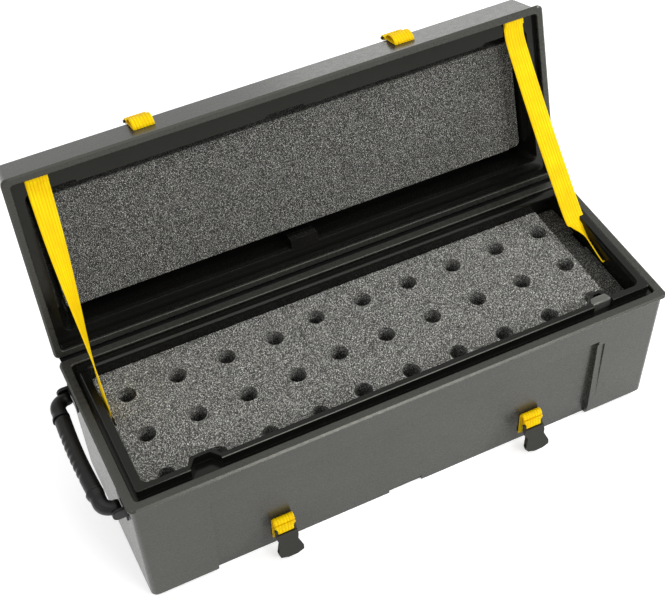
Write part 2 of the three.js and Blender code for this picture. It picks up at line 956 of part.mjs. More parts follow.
// A buckle half lies flat in its own frame: X across, Y through it, Z from its bar to its tip.
function plate(points, y0, y1) {
  const shape = new THREE.Shape(points.map(([x, z]) => new THREE.Vector2(x, z)));
  const g = new THREE.ExtrudeGeometry(shape, { depth: y1 - y0, bevelEnabled: false });
  g.applyMatrix4(new THREE.Matrix4().set(1, 0, 0, 0, 0, 0, -1, y1, 0, 1, 0, 0, 0, 0, 0, 1));
  return solid(g);
}
const half_thick = socket_thickness / 2;
const mirrored = (right) => [...right, ...right.map(([x, z]) => [-x, z]).reverse()];
const frame_outer = bar_half_width + cheek_width - play;
const barFrame = (reach) =>
  join(
    rod(bar_radius, [-bar_half_width, 0, 0], [bar_half_width, 0, 0]),
    ...[-1, 1].map((s) =>
      box(
        Math.min(s * (eye_half + play), s * frame_outer),
        Math.max(s * (eye_half + play), s * frame_outer),
        -half_thick / 2,
        half_thick / 2,
        -reach,
        cheek_top,
      ),
    ),
  );
const eye_clear = bar_radius + play * 2 + web_thickness + play;
const socket_outline = mirrored([
  [frame_outer, -eye_clear],
  [frame_outer, -socket_stations.neck + socket_stations.shoulder],
  [socket_neck_half, -socket_stations.neck],
  [socket_flare_half, -socket_stations.flare],
  [socket_flare_half - bar_radius / 2, -socket_stations.end],
  [socket_neck_half / 2, -socket_length],
]);
const socket = cut(
  join(plate(socket_outline, -half_thick, half_thick), barFrame(eye_clear + bar_radius)),
  box(
    -pocket_half_width,
    pocket_half_width,
    -pocket_height / 2,
    pocket_height / 2,
    -socket_length - overcut,
    -socket_length + pocket_length,
  ),
  box(
    -case_depth,
    case_depth,
    -pocket_height / 2,
    pocket_height / 2,
    -side_window_to,
    -side_window_from,
  ),
);
const placed = (body, matrix) => solid(geometryOf(body).applyMatrix4(matrix));
const lean = THREE.MathUtils.degToRad(-socket_lean_degrees);
const rivet = (x, y, z, out) =>
  join(
    rod(rivet_head_radius, [x, y, z], [x, y - rivet_head_height, z]),
    rod(rivet_shank_radius, [x, y - rivet_head_height / 2, z], [x, y + out, z], 12),
  );
for (const [side, s] of [
  ["left", -1],
  ["right", 1],
]) {
  const x = s * latch_x;
  put(part, "latch_web_" + side, latchWeb(x), web_paint);
  put(
    part,
    "latch_rivet_" + side,
    rivet(x, web_wall_y - play * 2 - web_thickness, web_rivet_z, web_thickness + wall + play * 2),
    steel_paint,
  );
  const m = new THREE.Matrix4()
    .makeTranslation(x, bar_y, bar_height)
    .multiply(new THREE.Matrix4().makeRotationX(lean));
  put(part, "buckle_socket_" + side, placed(socket, m), buckle_paint);
}

// Webbing on the lid: a proud loop on the front wall, a bar at its top edge and a hanging strap

const bar2_reach = lid_rounding + bar_radius + web_thickness + play * 3;
const corner_y = -lid_top_y + lid_rounding;
const corner_z = lid_top - lid_rounding;
const bar2_y = corner_y - bar2_reach * Math.SQRT1_2;
const bar2_z = corner_z + bar2_reach * Math.SQRT1_2;
const lidWallAt = (up) =>
  wall_y - (lid_draft * (up - flange_thickness)) / (lid_height - lid_rounding - flange_thickness);
const loopFaceAt = (up) => -lidWallAt(up) - play - web_thickness / 2;
const loop_middle_z = rim + (loop_from + loop_to) / 2;
const loop_half = (loop_to - loop_from) / 2;
const loop_shares = [
  [-1, 0.02],
  [-0.9, 0.3],
  [-0.7, 0.62],
  [-0.4, 0.9],
  [-0.1, 1],
  [0.25, 0.95],
  [0.6, 0.7],
  [0.9, 0.3],
  [1, 0.12],
];
const loop_outer = loop_shares.map(([up_share, out_share]) => [
  loopFaceAt(loop_from) - loop_proud * out_share,
  loop_middle_z + loop_half * up_share,
]);
const strip_path = [
  [loopFaceAt(loop_from), rim + loop_from],
  [loopFaceAt(loop_to), rim + loop_to],
  [bar2_y - eye_middle, bar2_z],
];
const lid_rivet_y = loopFaceAt((loop_from + loop_to) / 2) - web_thickness / 2 - play;
function lidWeb(x) {
  const x0 = x - web_width / 2;
  const x1 = x + web_width / 2;
  const strip = alongX(band(strip_path, web_thickness).reverse(), x0, x1);
  const loop = alongX(band(loop_outer, web_thickness).reverse(), x0, x1);
  const eye = eyeRing(bar2_y, bar2_z, x0, x1);
  const middle = box(
    x - middle_eye_width / 2 - play,
    x + middle_eye_width / 2 + play,
    -half_depth - loop_proud,
    corner_y,
    bar2_z - strap_neck,
    bar2_z + eye_clear + overcut,
  );
  const clear = rod(bar_radius + play, [x0 - overcut, bar2_y, bar2_z], [x1 + overcut, bar2_y, bar2_z], 20);
  return cut(join(strip, loop, eye), middle, clear, lidRivetHole(x));
}
const hang_degrees = lid_open_degrees - 90;
const hang = THREE.MathUtils.degToRad(90 + hang_degrees);
function strapBody() {
  const half = web_width / 2;
  const mid = middle_eye_width / 2;
  const far = -strap_length;
  const shaped = (z0, z1, w0, w1) =>
    plate(
      [
        [w0, z0],
        [w1, z1],
        [-w1, z1],
        [-w0, z0],
      ],
      -web_thickness / 2,
      web_thickness / 2,
    );
  const top = -bar_radius - web_thickness / 2;
  return cut(
    join(
      shaped(-strap_neck, top, mid, mid),
      shaped(-web_width / 2, -strap_neck, half, mid),
      shaped(far + web_width / 3, -web_width / 2, half, half),
      shaped(far - top, far + web_width / 3, eye_half, half),
      eyeRing(0, 0, -mid, mid),
      eyeRing(0, far, -eye_half, eye_half),
    ),
    rod(bar_radius + play, [-half, 0, 0], [half, 0, 0], 20),
    rod(bar_radius + play, [-half, 0, far], [half, 0, far], 20),
  );
}
const plug_body_to = eye_clear + plug_body_length;
const plug = join(
  barFrame(eye_clear + bar_radius),
  plate(
    mirrored([
      [frame_outer, -eye_clear],
      [frame_outer, -plug_body_to],
    ]),
    -half_thick,
    half_thick,
  ),
  ...[-1, 1].map((s) =>
    plate(
      [
        [s * (plug_prong_half_spread - plug_prong_width), -plug_body_to + bar_radius],
        [s * (plug_prong_half_spread - plug_prong_width), -plug_body_to - plug_prong_length + bar_radius],
        [s * (plug_prong_half_spread - plug_prong_width / 2), -plug_body_to - plug_prong_length],
        [s * plug_prong_half_spread, -plug_body_to - plug_prong_length + bar_radius],
        [s * plug_prong_half_spread, -plug_body_to + bar_radius],
      ].reverse().map((p, i, all) => (s > 0 ? p : all[all.length - 1 - i])),
      -pocket_height / 2 + play,
      pocket_height / 2 - play,
    ),
  ),
  box(
    -bar_radius,
    bar_radius,
    -pocket_height / 2 + play,
    pocket_height / 2 - play,
    -plug_body_to - plug_prong_length + bar_radius,
    -plug_body_to + bar_radius,
  ),
);
const strap = strapBody();
for (const [side, s] of [
  ["left", -1],
  ["right", 1],
]) {
  const x = s * lid_latch_x;
  put(lid, "lid_web_" + side, lidWeb(x), web_paint);
  put(
    lid,
    "lid_rivet_" + side,
    rivet(x, lid_rivet_y, loop_middle_z, web_thickness + wall + play * 3),
    steel_paint,
  );
  put(
    lid,
    "strap_bar_" + side,
    rod(bar_radius, [x - strap_bar_half_width, bar2_y, bar2_z], [x + strap_bar_half_width, bar2_y, bar2_z]),
    steel_paint,
  );
  const m = new THREE.Matrix4()
    .makeTranslation(x, bar2_y, bar2_z)
    .multiply(new THREE.Matrix4().makeRotationX(hang));
  put(lid, "lid_strap_" + side, placed(strap, m), web_paint);
  const far = m.clone().multiply(new THREE.Matrix4().makeTranslation(0, 0, -strap_length));
  put(lid, "buckle_plug_" + side, placed(plug, far), buckle_paint);
}

// Stays: flat webbing from the lid's front corners down to the inner end walls of the base

const turn = THREE.MathUtils.degToRad(-lid_open_degrees);
const opened = (y, z) => {
  const dy = y - hinge_back;
  const dz = z - hinge_z;
  return [
    Math.cos(turn) * dy - Math.sin(turn) * dz + hinge_back,
    Math.sin(turn) * dy + Math.cos(turn) * dz + hinge_z,
  ];
};
const stay_lid_z = lid_lip_face - play * 2 - web_thickness / 2;
function stay(s) {
  const lid_end = -half_depth + stay_lid_from_front;
  const [ly, lz] = opened(lid_end, stay_lid_z);
  const [my, mz] = opened(lid_end + stay_end_length, stay_lid_z);
  const base_x = s * (inner_x - play * 2 - web_thickness / 2);
  const start = new THREE.Vector3(s * stay_x, ly, lz);
  const bend = new THREE.Vector3(s * stay_x, my, mz);
  const end = new THREE.Vector3(base_x, stay_base_y, foam_top - stay_tail);
  const rise = new THREE.Vector3(base_x, stay_base_y, rim + tongue_rise);
  const rings = [];
  const add = (centre, across, normal) => {
    const w = across.clone().multiplyScalar(web_width / 2);
    const t = normal.clone().multiplyScalar(web_thickness / 2);
    rings.push(
      [
        centre.clone().sub(w).sub(t),
        centre.clone().add(w).sub(t),
        centre.clone().add(w).add(t),
        centre.clone().sub(w).add(t),
      ].map((v) => [v.x, v.y, v.z]),
    );
  };
  const along = bend.clone().sub(start).normalize();
  const lid_across = new THREE.Vector3(1, 0, 0);
  const lid_normal = lid_across.clone().cross(along).normalize();
  add(start, lid_across, lid_normal);
  const span = new THREE.Vector3().subVectors(rise, bend);
  const dir = span.clone().normalize();
  for (let i = 0; i <= stay_steps; i++) {
    const t = i / stay_steps;
    const ease = t * t * (3 - 2 * t);
    const centre = bend.clone().addScaledVector(span, t);
    const flat = lid_across.clone();
    const edge = new THREE.Vector3(0, 1, 0);
    const across = flat.multiplyScalar(Math.cos((ease * Math.PI) / 2));
    across.addScaledVector(edge.addScaledVector(dir, -edge.dot(dir)).normalize(), -s * Math.sin((ease * Math.PI) / 2));
    across.addScaledVector(dir, -across.dot(dir)).normalize();
    add(centre, across, across.clone().cross(dir).normalize());
  }
  const down = new THREE.Vector3(0, 0, -1);
  const last = new THREE.Vector3(0, -s, 0);
  const settled = rise.clone().addScaledVector(down, stay_tail / 4);
  add(settled, last, last.clone().cross(down).normalize());
  add(end, last, last.clone().cross(down).normalize());
  return rings;
}
function stayBody(s) {
  const rings = stay(s);
  const g = new THREE.BufferGeometry();
  const points = rings.flat(2);
  const faces = [];
  for (let k = 0; k < rings.length - 1; k++) {
    for (let i = 0; i < 4; i++) {
      const a = k * 4 + i;
      const b = k * 4 + ((i + 1) % 4);
      faces.push(a, b + 4, b, a, a + 4, b + 4);
    }
  }
  const e = (rings.length - 1) * 4;
  faces.push(0, 1, 2, 0, 2, 3, e, e + 2, e + 1, e, e + 3, e + 2);
  g.setAttribute("position", new THREE.BufferAttribute(new Float32Array(points), 3));
  g.setIndex(faces);
  return solid(g);
}
const to_open = new THREE.Matrix4()
  .makeTranslation(0, hinge_back, hinge_z)
  .multiply(new THREE.Matrix4().makeRotationX(turn))
  .multiply(new THREE.Matrix4().makeTranslation(0, -hinge_back, -hinge_z));
for (const [side, s] of [
  ["left", -1],
  ["right", 1],
]) {
  const lid_hole = lidAnchor(s, anchor_shank + play, lid_lip_face - wall, lid_lip_face);
  const body = cut(
    stayBody(s),
    baseAnchor(s, anchor_shank + play, inner_x - wall, inner_x + wall),
    placed(lid_hole, to_open),
  );
  put(part, "stay_" + side, body, web_paint);
  const head_x = inner_x - anchor_room - play / 2;
  put(
    part,
    "stay_rivet_base_" + side,
    join(
      baseAnchor(s, anchor_radius, head_x - anchor_head, head_x),
      baseAnchor(s, anchor_shank, head_x - anchor_head / 2, inner_x + liner_thickness + play),
    ),
    steel_paint,
  );
  const head_z = lid_lip_face - anchor_room - play;
  put(
    lid,
    "stay_rivet_lid_" + side,
    join(
      lidAnchor(s, anchor_radius, head_z - anchor_head, head_z),
      lidAnchor(s, anchor_shank, head_z - anchor_head / 2, lid_lip_face + slab + play),
    ),
    steel_paint,
  );
}

// Carrying handle

const handle_z = rim - handle_below_rim;
const end_draft = (base_draft * handle_below_rim) / base_height;
const end_wall = -(wall_x - end_draft);
const pivot_x = end_wall - ear_radius - bracket_thickness - play * 2;
const bracketBody = (s) => {
  const x = end_wall - play;
  const near = s * handle_pivot_y + (s * (elbow_width / 2 + play));
  const far = near + s * ear_thickness;
  const [y0, y1] = [Math.min(near, far), Math.max(near, far)];
  return cut(
    join(
      box(
        x - bracket_thickness,
        x,
        s > 0 ? y1 - bracket_length : y0,
        s > 0 ? y1 : y0 + bracket_length,
        handle_z - bracket_below,
        handle_z + bracket_above,
      ),
      rod(ear_radius, [pivot_x, y0, handle_z], [pivot_x, y1, handle_z]),
      box(pivot_x, x, y0, y1, handle_z - ear_radius, handle_z + ear_radius),
    ),
    rod(
      handle_pin_radius + play,
      [pivot_x, near - s * play, handle_z],
      [pivot_x, far - s * ear_skin, handle_z],
    ),
  );
};
for (const [side, s] of [
  ["front", -1],
  ["back", 1],
]) {
  put(part, "handle_bracket_" + side, bracketBody(s), buckle_paint);
}
const grip_x = -(half_length + handle_reach) + flange_overhang;
const elbow_from = pivot_x + elbow_end;
const elbow_half = elbow_width / 2;
const elbow_stop = grip_half_length + collar_length + play;
const elbow = (s) => {
  const outline = [
    [elbow_from, handle_pivot_y - elbow_half],
    [elbow_from, handle_pivot_y + elbow_half],
    [grip_x, handle_pivot_y + elbow_half],
    [grip_x - elbow_half / 2, handle_pivot_y + elbow_half / 2],
    [grip_x - elbow_half, handle_pivot_y - elbow_half / 2],
    [grip_x - elbow_half, elbow_stop],
    [grip_x + elbow_half, elbow_stop],
    [grip_x + elbow_half, handle_pivot_y - elbow_half],
  ].map(([x, y]) => [x, s * y]);
  return alongZ(
    s > 0 ? outline.reverse() : outline,
    handle_z - elbow_half_height,
    handle_z + elbow_half_height,
  );
};
const bail = join(
  rod(
    core_radius,
    [grip_x, -elbow_stop - core_radius, handle_z],
    [grip_x, elbow_stop + core_radius, handle_z],
  ),
  elbow(-1),
  elbow(1),
  ...[-1, 1].map((s) =>
    rod(
      handle_pin_radius,
      [pivot_x, s * handle_pivot_y, handle_z],
      [pivot_x, s * (handle_pivot_y + elbow_half + ear_thickness - ear_skin), handle_z],
    ),
  ),
);
put(part, "handle_bail", bail, rubber_paint);
const grip_end = grip_half_length + collar_length;
const grip_profile = [
  [0, -grip_end],
  [collar_radius, -grip_end],
  [collar_radius, -grip_half_length],
  [grip_radius - grip_shoulder, -grip_half_length],
  [grip_radius - grip_shoulder / 4, -grip_half_length + grip_shoulder],
  [grip_radius, -grip_half_length + grip_shoulder * 2],
];
const grip_points = [...grip_profile, ...grip_profile.map(([r, y]) => [r, -y]).reverse()];
const grip_lathe = new THREE.LatheGeometry(
  grip_points.map(([r, y]) => new THREE.Vector2(r, y)),
  handle_sides,
);
grip_lathe.translate(grip_x, 0, handle_z);
const scallop = Array.from({ length: scallops }, (_, i) => {
  const y = scallop_pitch * (i - (scallops - 1) / 2);
  const x = grip_x - grip_radius - scallop_radius + scallop_depth;
  return rod(scallop_radius, [x, y, handle_z - grip_radius], [x, y, handle_z + grip_radius], handle_sides);
});
put(
  part,
  "handle_grip",
  cut(
    solid(grip_lathe),
    ...scallop,
    rod(core_radius + play, [grip_x, -half_depth, handle_z], [grip_x, half_depth, handle_z]),
  ),
  rubber_paint,
);

export default part;
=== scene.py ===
import json
import math

import bmesh
import bpy
from mathutils import Matrix, Vector


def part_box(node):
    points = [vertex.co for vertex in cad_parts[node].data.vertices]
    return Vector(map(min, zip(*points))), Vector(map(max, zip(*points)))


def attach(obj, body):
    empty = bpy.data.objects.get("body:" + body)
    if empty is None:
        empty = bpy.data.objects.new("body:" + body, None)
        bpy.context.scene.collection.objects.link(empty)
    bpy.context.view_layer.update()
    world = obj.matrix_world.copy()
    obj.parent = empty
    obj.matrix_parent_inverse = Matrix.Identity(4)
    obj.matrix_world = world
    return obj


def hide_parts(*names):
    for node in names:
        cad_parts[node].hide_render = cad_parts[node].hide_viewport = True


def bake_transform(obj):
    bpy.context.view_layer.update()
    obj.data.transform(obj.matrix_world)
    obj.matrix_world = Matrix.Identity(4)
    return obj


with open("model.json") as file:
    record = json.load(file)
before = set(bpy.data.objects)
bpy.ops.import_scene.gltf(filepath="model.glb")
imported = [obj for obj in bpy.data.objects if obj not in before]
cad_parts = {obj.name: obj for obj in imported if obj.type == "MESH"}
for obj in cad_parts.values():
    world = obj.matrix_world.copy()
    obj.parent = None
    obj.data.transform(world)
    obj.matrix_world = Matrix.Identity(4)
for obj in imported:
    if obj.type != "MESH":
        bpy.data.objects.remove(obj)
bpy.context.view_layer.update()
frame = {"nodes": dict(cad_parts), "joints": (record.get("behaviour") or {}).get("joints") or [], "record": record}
nodes = frame["nodes"]
joints = {j["name"]: j for j in frame["joints"]}
slot_of = {s["node"]: s["material_slot"] for s in frame["record"]["subparts"]}

# Lengths are millimetres in the geometry and metres in the materials, the camera and the lamps.
MM = 0.001
SIDES = (("left", -1), ("right", 1))


def pivot(joint):
    """A joint's place in millimetres, as (x, y, z)."""
    return tuple(c / MM for c in joints[joint]["pos_m"])


def box_mm(node):
    """A CAD node's lowest and highest corner in millimetres."""
    return [[c / MM for c in corner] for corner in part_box(node)]


# Sizes that several pieces share

HINGE_Y, HINGE_Z = pivot("lid_hinge")[1:]
OPEN = math.radians(-joints["lid_hinge"]["range_deg"][1])
HALF_LENGTH, HALF_DEPTH, RIM = box_mm("base_shell")[1]
PLAY = 0.3
WEB = 1.8
WEB_WIDTH = 30.0
BAR_RADIUS = 2.0
EYE_RADIUS = BAR_RADIUS + PLAY + WEB / 2
EYE_WIDTH = 23.0
MIDDLE_EYE = 14.0
QUARTER = math.pi / 2


# Camera at the photograph's viewing angle

LENS = 74.92
SENSOR_WIDTH = 36.0
CLIP_START = 0.05
CLIP_END = 50
CAMERA_PLACE = (-0.5452, -1.1014, 1.5961)
CAMERA_RIGHT = (0.89813609, -0.4387536, -0.02910047)
CAMERA_DOWN = (-0.33963003, -0.65014882, -0.67967489)
CAMERA_AHEAD = (0.27929017, 0.62032394, -0.73293602)


def make_camera():
    data = bpy.data.cameras.new("camera")
    data.lens = LENS
    data.sensor_width = SENSOR_WIDTH
    data.sensor_fit = "HORIZONTAL"
    data.clip_start = CLIP_START
    data.clip_end = CLIP_END
    camera = bpy.data.objects.new("camera", data)
    axes = (Vector(CAMERA_RIGHT), -Vector(CAMERA_DOWN), -Vector(CAMERA_AHEAD))
    place = Matrix(axes).transposed().to_4x4()
    place.translation = Vector(CAMERA_PLACE)
    camera.matrix_world = place
    bpy.context.scene.collection.objects.link(camera)
    bpy.context.scene.camera = camera


# Shader nodes

def new_material(name):
    material = bpy.data.materials.new(name)
    material.use_nodes = True
    tree = material.node_tree
    tree.nodes.clear()
    out = tree.nodes.new("ShaderNodeOutputMaterial")
    shader = tree.nodes.new("ShaderNodeBsdfPrincipled")
    tree.links.new(shader.outputs["BSDF"], out.inputs["Surface"])
    return material, tree, shader


def feed(tree, socket, value):
    """Gives a socket its value, from another node's output or as a constant."""
    if hasattr(value, "links"):
        tree.links.new(value, socket)
    else:
        socket.default_value = value


def maths(tree, operation, *values):
    node = tree.nodes.new("ShaderNodeMath")
    node.operation = operation
    for socket, value in zip(node.inputs, values):
        feed(tree, socket, value)
    return node.outputs["Value"]


def coords(tree, scale=(1, 1, 1)):
    place = tree.nodes.new("ShaderNodeTexCoord")
    mapping = tree.nodes.new("ShaderNodeMapping")
    mapping.inputs["Scale"].default_value = scale
    tree.links.new(place.outputs["Object"], mapping.inputs["Vector"])
    return mapping.outputs["Vector"]


def noise(tree, vector, scale, detail=2.0, rough=0.5):
    node = tree.nodes.new("ShaderNodeTexNoise")
    node.inputs["Scale"].default_value = scale
    node.inputs["Detail"].default_value = detail
    node.inputs["Roughness"].default_value = rough
    tree.links.new(vector, node.inputs["Vector"])
    return node.outputs["Fac"]


def cells(tree, vector, scale):
    node = tree.nodes.new("ShaderNodeTexVoronoi")
    node.feature = "F1"
    node.inputs["Scale"].default_value = scale
    tree.links.new(vector, node.inputs["Vector"])
    return node.outputs["Distance"]


def spread(tree, value, low, high, to_low=0.0, to_high=1.0):
    """Maps the range from low to high to another one, and holds it at both ends."""
    node = tree.nodes.new("ShaderNodeMapRange")
    node.inputs["From Min"].default_value = low
    node.inputs["From Max"].default_value = high
    node.inputs["To Min"].default_value = to_low
    node.inputs["To Max"].default_value = to_high
    tree.links.new(value, node.inputs["Value"])
    return node.outputs["Result"]


def varied(tree, value, to_low=0.0, to_high=1.0):
    """A noise's middle range stretched to another range."""
    return spread(tree, value, low=0.3, high=0.7, to_low=to_low, to_high=to_high)


def mix_colour(tree, share, first, second):
    node = tree.nodes.new("ShaderNodeMix")
    node.data_type = "RGBA"
    tree.links.new(share, node.inputs["Factor"])
    for socket, value in ((node.inputs["A"], first), (node.inputs["B"], second)):
        feed(tree, socket, value if hasattr(value, "links") else (*value, 1.0))
    return node.outputs["Result"]


def bump(tree, shader, height, strength, distance, after=None):
    node = tree.nodes.new("ShaderNodeBump")
    node.inputs["Strength"].default_value = strength
    node.inputs["Distance"].default_value = distance
    tree.links.new(height, node.inputs["Height"])
    if after is not None:
        tree.links.new(after, node.inputs["Normal"])
    tree.links.new(node.outputs["Normal"], shader.inputs["Normal"])
    return node.outputs["Normal"]


def uneven_roughness(tree, shader, grain, rough, less, more):
    """Roughness that a noise takes below and above its middle value."""
    wander = varied(tree, grain, rough - less, rough + more)
    tree.links.new(wander, shader.inputs["Roughness"])


def shade(colour, factor):
    return tuple(c * factor for c in colour)


# Materials

PLASTIC_TINT = (1.0, 1.0, 0.9, 1.0)
# Painted highlight along sharp edges: the reach and samples of the bevel that finds them
EDGE_HIGHLIGHT_RADIUS = 0.002
EDGE_HIGHLIGHT_SAMPLES = 4
NOISE_MIDDLE = 0.5
NOISE_REACH = 0.16
GLINT_BEFORE = 0.01
GLINT_AFTER = 0.1
WEBBING_RIB = 0.0043
WEBBING_PICK = 0.0011


def painted_edge_highlight(tree):
    """One on a solid's sharp edges, falling to nothing on its flats: the mask of a highlight painted along the
    edges.
    """
    bevel = tree.nodes.new("ShaderNodeBevel")
    bevel.samples = EDGE_HIGHLIGHT_SAMPLES
    bevel.inputs["Radius"].default_value = EDGE_HIGHLIGHT_RADIUS
    geometry = tree.nodes.new("ShaderNodeNewGeometry")
    dot = tree.nodes.new("ShaderNodeVectorMath")
    dot.operation = "DOT_PRODUCT"
    tree.links.new(bevel.outputs["Normal"], dot.inputs[0])
    tree.links.new(geometry.outputs["Normal"], dot.inputs[1])
    return spread(tree, dot.outputs["Value"], low=0.99, high=0.8)


def moulded(name, base, rough, depth, gloss=0.5, grain=900.0, mottling=0.18, edge_highlight=0.35):
    """Moulded plastic: fine grain, faint mottling and a painted highlight, with sharp edges made paler in patches.
    """
    material, tree, shader = new_material(name)
    shader.inputs["Specular IOR Level"].default_value = gloss
    shader.inputs["Specular Tint"].default_value = PLASTIC_TINT
    v = coords(tree)
    tint = varied(tree, noise(tree, v, scale=9.0, detail=4.0, rough=0.6))
    colour = mix_colour(tree, tint, shade(base, 1 - mottling), shade(base, 1 + mottling))
    # Painted highlight: sharp edges get a paler colour, broken into patches by a noise
    highlight_patches = spread(tree, noise(tree, v, scale=60.0, detail=3.0), low=0.35, high=0.7, to_low=0.6)
    edge_highlight_share = maths(tree, "MULTIPLY", painted_edge_highlight(tree), highlight_patches)
    highlighted = mix_colour(tree, edge_highlight_share, colour, shade(base, 1 + edge_highlight))
    tree.links.new(highlighted, shader.inputs["Base Color"])
    cloudy = noise(tree, v, scale=140.0, detail=3.0)
    uneven_roughness(tree, shader, cloudy, rough, less=0.03, more=0.04)
    fine = bump(tree, shader, noise(tree, v, grain, rough=0.6), strength=0.06, distance=depth)
    bump(tree, shader, noise(tree, v, scale=20.0), strength=0.1, distance=0.0006, after=fine)
    return material


def foam_material(name, base, painted_glint_colour, share):
    """Open cell foam: dark cells, with pale glints painted into the colour as highlights over about the given
    share.
    """
    material, tree, shader = new_material(name)
    v = coords(tree)
    cell = cells(tree, v, scale=620.0)
    body = spread(tree, cell, low=0.1, high=0.7, to_low=1.2, to_high=0.5)
    broad = varied(tree, noise(tree, v, scale=22.0, detail=3.0), to_low=0.88, to_high=1.1)
    dimmed = tree.nodes.new("ShaderNodeVectorMath")
    dimmed.operation = "SCALE"
    dimmed.inputs[0].default_value = base
    tree.links.new(maths(tree, "MULTIPLY", body, broad), dimmed.inputs["Scale"])
    # Painted highlight: pale glints on the cells, mixed into the foam's colour
    grain = noise(tree, v, scale=1350.0, detail=0.0)
    glint_from = NOISE_MIDDLE + NOISE_REACH * (1 - 2 * share)
    painted_glint = spread(tree, grain, low=glint_from - GLINT_BEFORE, high=glint_from + GLINT_AFTER)
    colour = mix_colour(tree, painted_glint, dimmed.outputs["Vector"], painted_glint_colour)
    tree.links.new(colour, shader.inputs["Base Color"])
    shader.inputs["Roughness"].default_value = 0.92
    shader.inputs["Specular IOR Level"].default_value = 0.25
    pits = bump(tree, shader, cell, strength=0.7, distance=0.0009)
    lumps = noise(tree, v, scale=300.0, detail=3.0, rough=0.7)
    bump(tree, shader, lumps, strength=0.6, distance=0.001, after=pits)
    return material


def wave(tree, socket, period):
    phase = maths(tree, "MULTIPLY", socket, 2 * math.pi / period)
    return maths(tree, "SINE", phase)


def webbing_material(name, base, darker_tone_and_shade):
    """Woven webbing: lengthwise ribs crossed by fine picks, with a random darker tone, and painted shade in the
    rib grooves and between the picks.
    """
    material, tree, shader = new_material(name)
    uv = tree.nodes.new("ShaderNodeUVMap")
    uv.uv_map = "webbing"
    axes = tree.nodes.new("ShaderNodeSeparateXYZ")
    tree.links.new(uv.outputs["UV"], axes.inputs["Vector"])
    ribs = wave(tree, axes.outputs["X"], WEBBING_RIB)
    picks = wave(tree, axes.outputs["Y"], WEBBING_PICK)
    weave = maths(tree, "MULTIPLY", ribs, picks)
    blotch = varied(tree, noise(tree, coords(tree), scale=40.0, detail=3.0), to_high=0.5)
    tone = mix_colour(tree, blotch, base, darker_tone_and_shade)
    # Painted shade: the colour darkens in the gaps of the weave and in the rib grooves
    painted_gap_shade = spread(tree, weave, low=-1.0, high=1.0, to_low=0.3, to_high=0.0)
    gap_shaded = mix_colour(tree, painted_gap_shade, tone, darker_tone_and_shade)
    painted_groove_shade = spread(tree, ribs, low=-1.0, high=0.0, to_low=0.6, to_high=0.0)
    tree.links.new(mix_colour(tree, painted_groove_shade, gap_shaded, darker_tone_and_shade), shader.inputs["Base Color"])
    shader.inputs["Roughness"].default_value = 0.6
    shader.inputs["Specular IOR Level"].default_value = 0.12
    ribbed = bump(tree, shader, ribs, strength=0.6, distance=0.00025)
    bump(tree, shader, weave, strength=0.5, distance=0.0002, after=ribbed)
    return material


def rubber_material(name, base, rough):
    """Soft rubber: dull, faintly cloudy and very finely pitted."""
    material, tree, shader = new_material(name)
    v = coords(tree)
    cloud = varied(tree, noise(tree, v, scale=30.0, detail=3.0))
    colour = mix_colour(tree, cloud, shade(base, 0.8), shade(base, 1.25))
    tree.links.new(colour, shader.inputs["Base Color"])
    uneven_roughness(tree, shader, noise(tree, v, scale=180.0), rough, less=0.06, more=0.07)
    shader.inputs["Specular IOR Level"].default_value = 0.25
    bump(tree, shader, noise(tree, v, scale=1200.0), strength=0.3, distance=0.00006)
    return material


def steel_material(name, base, rough):
    """Black coated steel, streaked along its length."""
    material, tree, shader = new_material(name)
    v = coords(tree, scale=(1, 12, 12))
    streak = varied(tree, noise(tree, v, scale=90.0, detail=3.0))
    colour = mix_colour(tree, streak, shade(base, 0.8), shade(base, 1.2))
    tree.links.new(colour, shader.inputs["Base Color"])
    shader.inputs["Metallic"].default_value = 0.6
    uneven_roughness(tree, shader, noise(tree, v, scale=220.0), rough, less=0.08, more=0.08)
    bump(tree, shader, noise(tree, v, scale=500.0), strength=0.3, distance=0.0001)
    return material


shell_mat = moulded("shell_plastic", (0.026, 0.0262, 0.023), rough=0.27, depth=0.00006)
# Liner: the case's black plastic made darker still, painting the shade inside the base and the lid
painted_shade_liner_mat = moulded("liner_plastic_painted_shade", (0.005, 0.005, 0.0045), rough=0.15, depth=0.00004, gloss=0.24)
# Jog pad: plastic paler than the shell, painting the highlight and the sky's reflection on the pad's top
painted_highlight_pad_mat = moulded("jog_pad_plastic_painted_highlight", (0.06, 0.06, 0.056), rough=0.2, depth=0.00003, gloss=0.9)
buckle_mat = moulded(
    "buckle_plastic",
    (0.03, 0.03, 0.027),
    rough=0.5,
    depth=0.00006,
    gloss=0.25,
    grain=1500.0,
    mottling=0.1,
    # a stronger painted highlight on the buckle's edges
    edge_highlight=0.5,
)
foam_mat = foam_material("grey_foam", (0.077, 0.077, 0.071), painted_glint_colour=(1.0, 1.0, 0.93), share=0.13)
lid_foam_mat = foam_material("lid_foam_grey", (0.045, 0.045, 0.041), painted_glint_colour=(0.8, 0.8, 0.74), share=0.11)
# A darker copy of the foam: on the end strip it paints the right end wall's shadow; the floor pad takes the same
# darker colour
painted_shadow_foam_mat = foam_material("dark_foam", (0.02, 0.02, 0.0175), painted_glint_colour=(0.32, 0.32, 0.29), share=0.12)
web_mat = webbing_material("yellow_webbing", (1.0, 0.82, 0.0), darker_tone_and_shade=(0.92, 0.45, 0.0))
rubber_mat = rubber_material("black_rubber", (0.006, 0.006, 0.0055), rough=0.36)
steel_mat = steel_material("dark_steel", (0.02, 0.02, 0.02), rough=0.42)

looks = {
    "shell": shell_mat,
    "liner": painted_shade_liner_mat,
    "foam": foam_mat,
    "dark_foam": painted_shadow_foam_mat,
    "webbing": web_mat,
    "buckle": buckle_mat,
    "rubber": rubber_mat,
    "dark_steel": steel_mat,
}


# Meshes

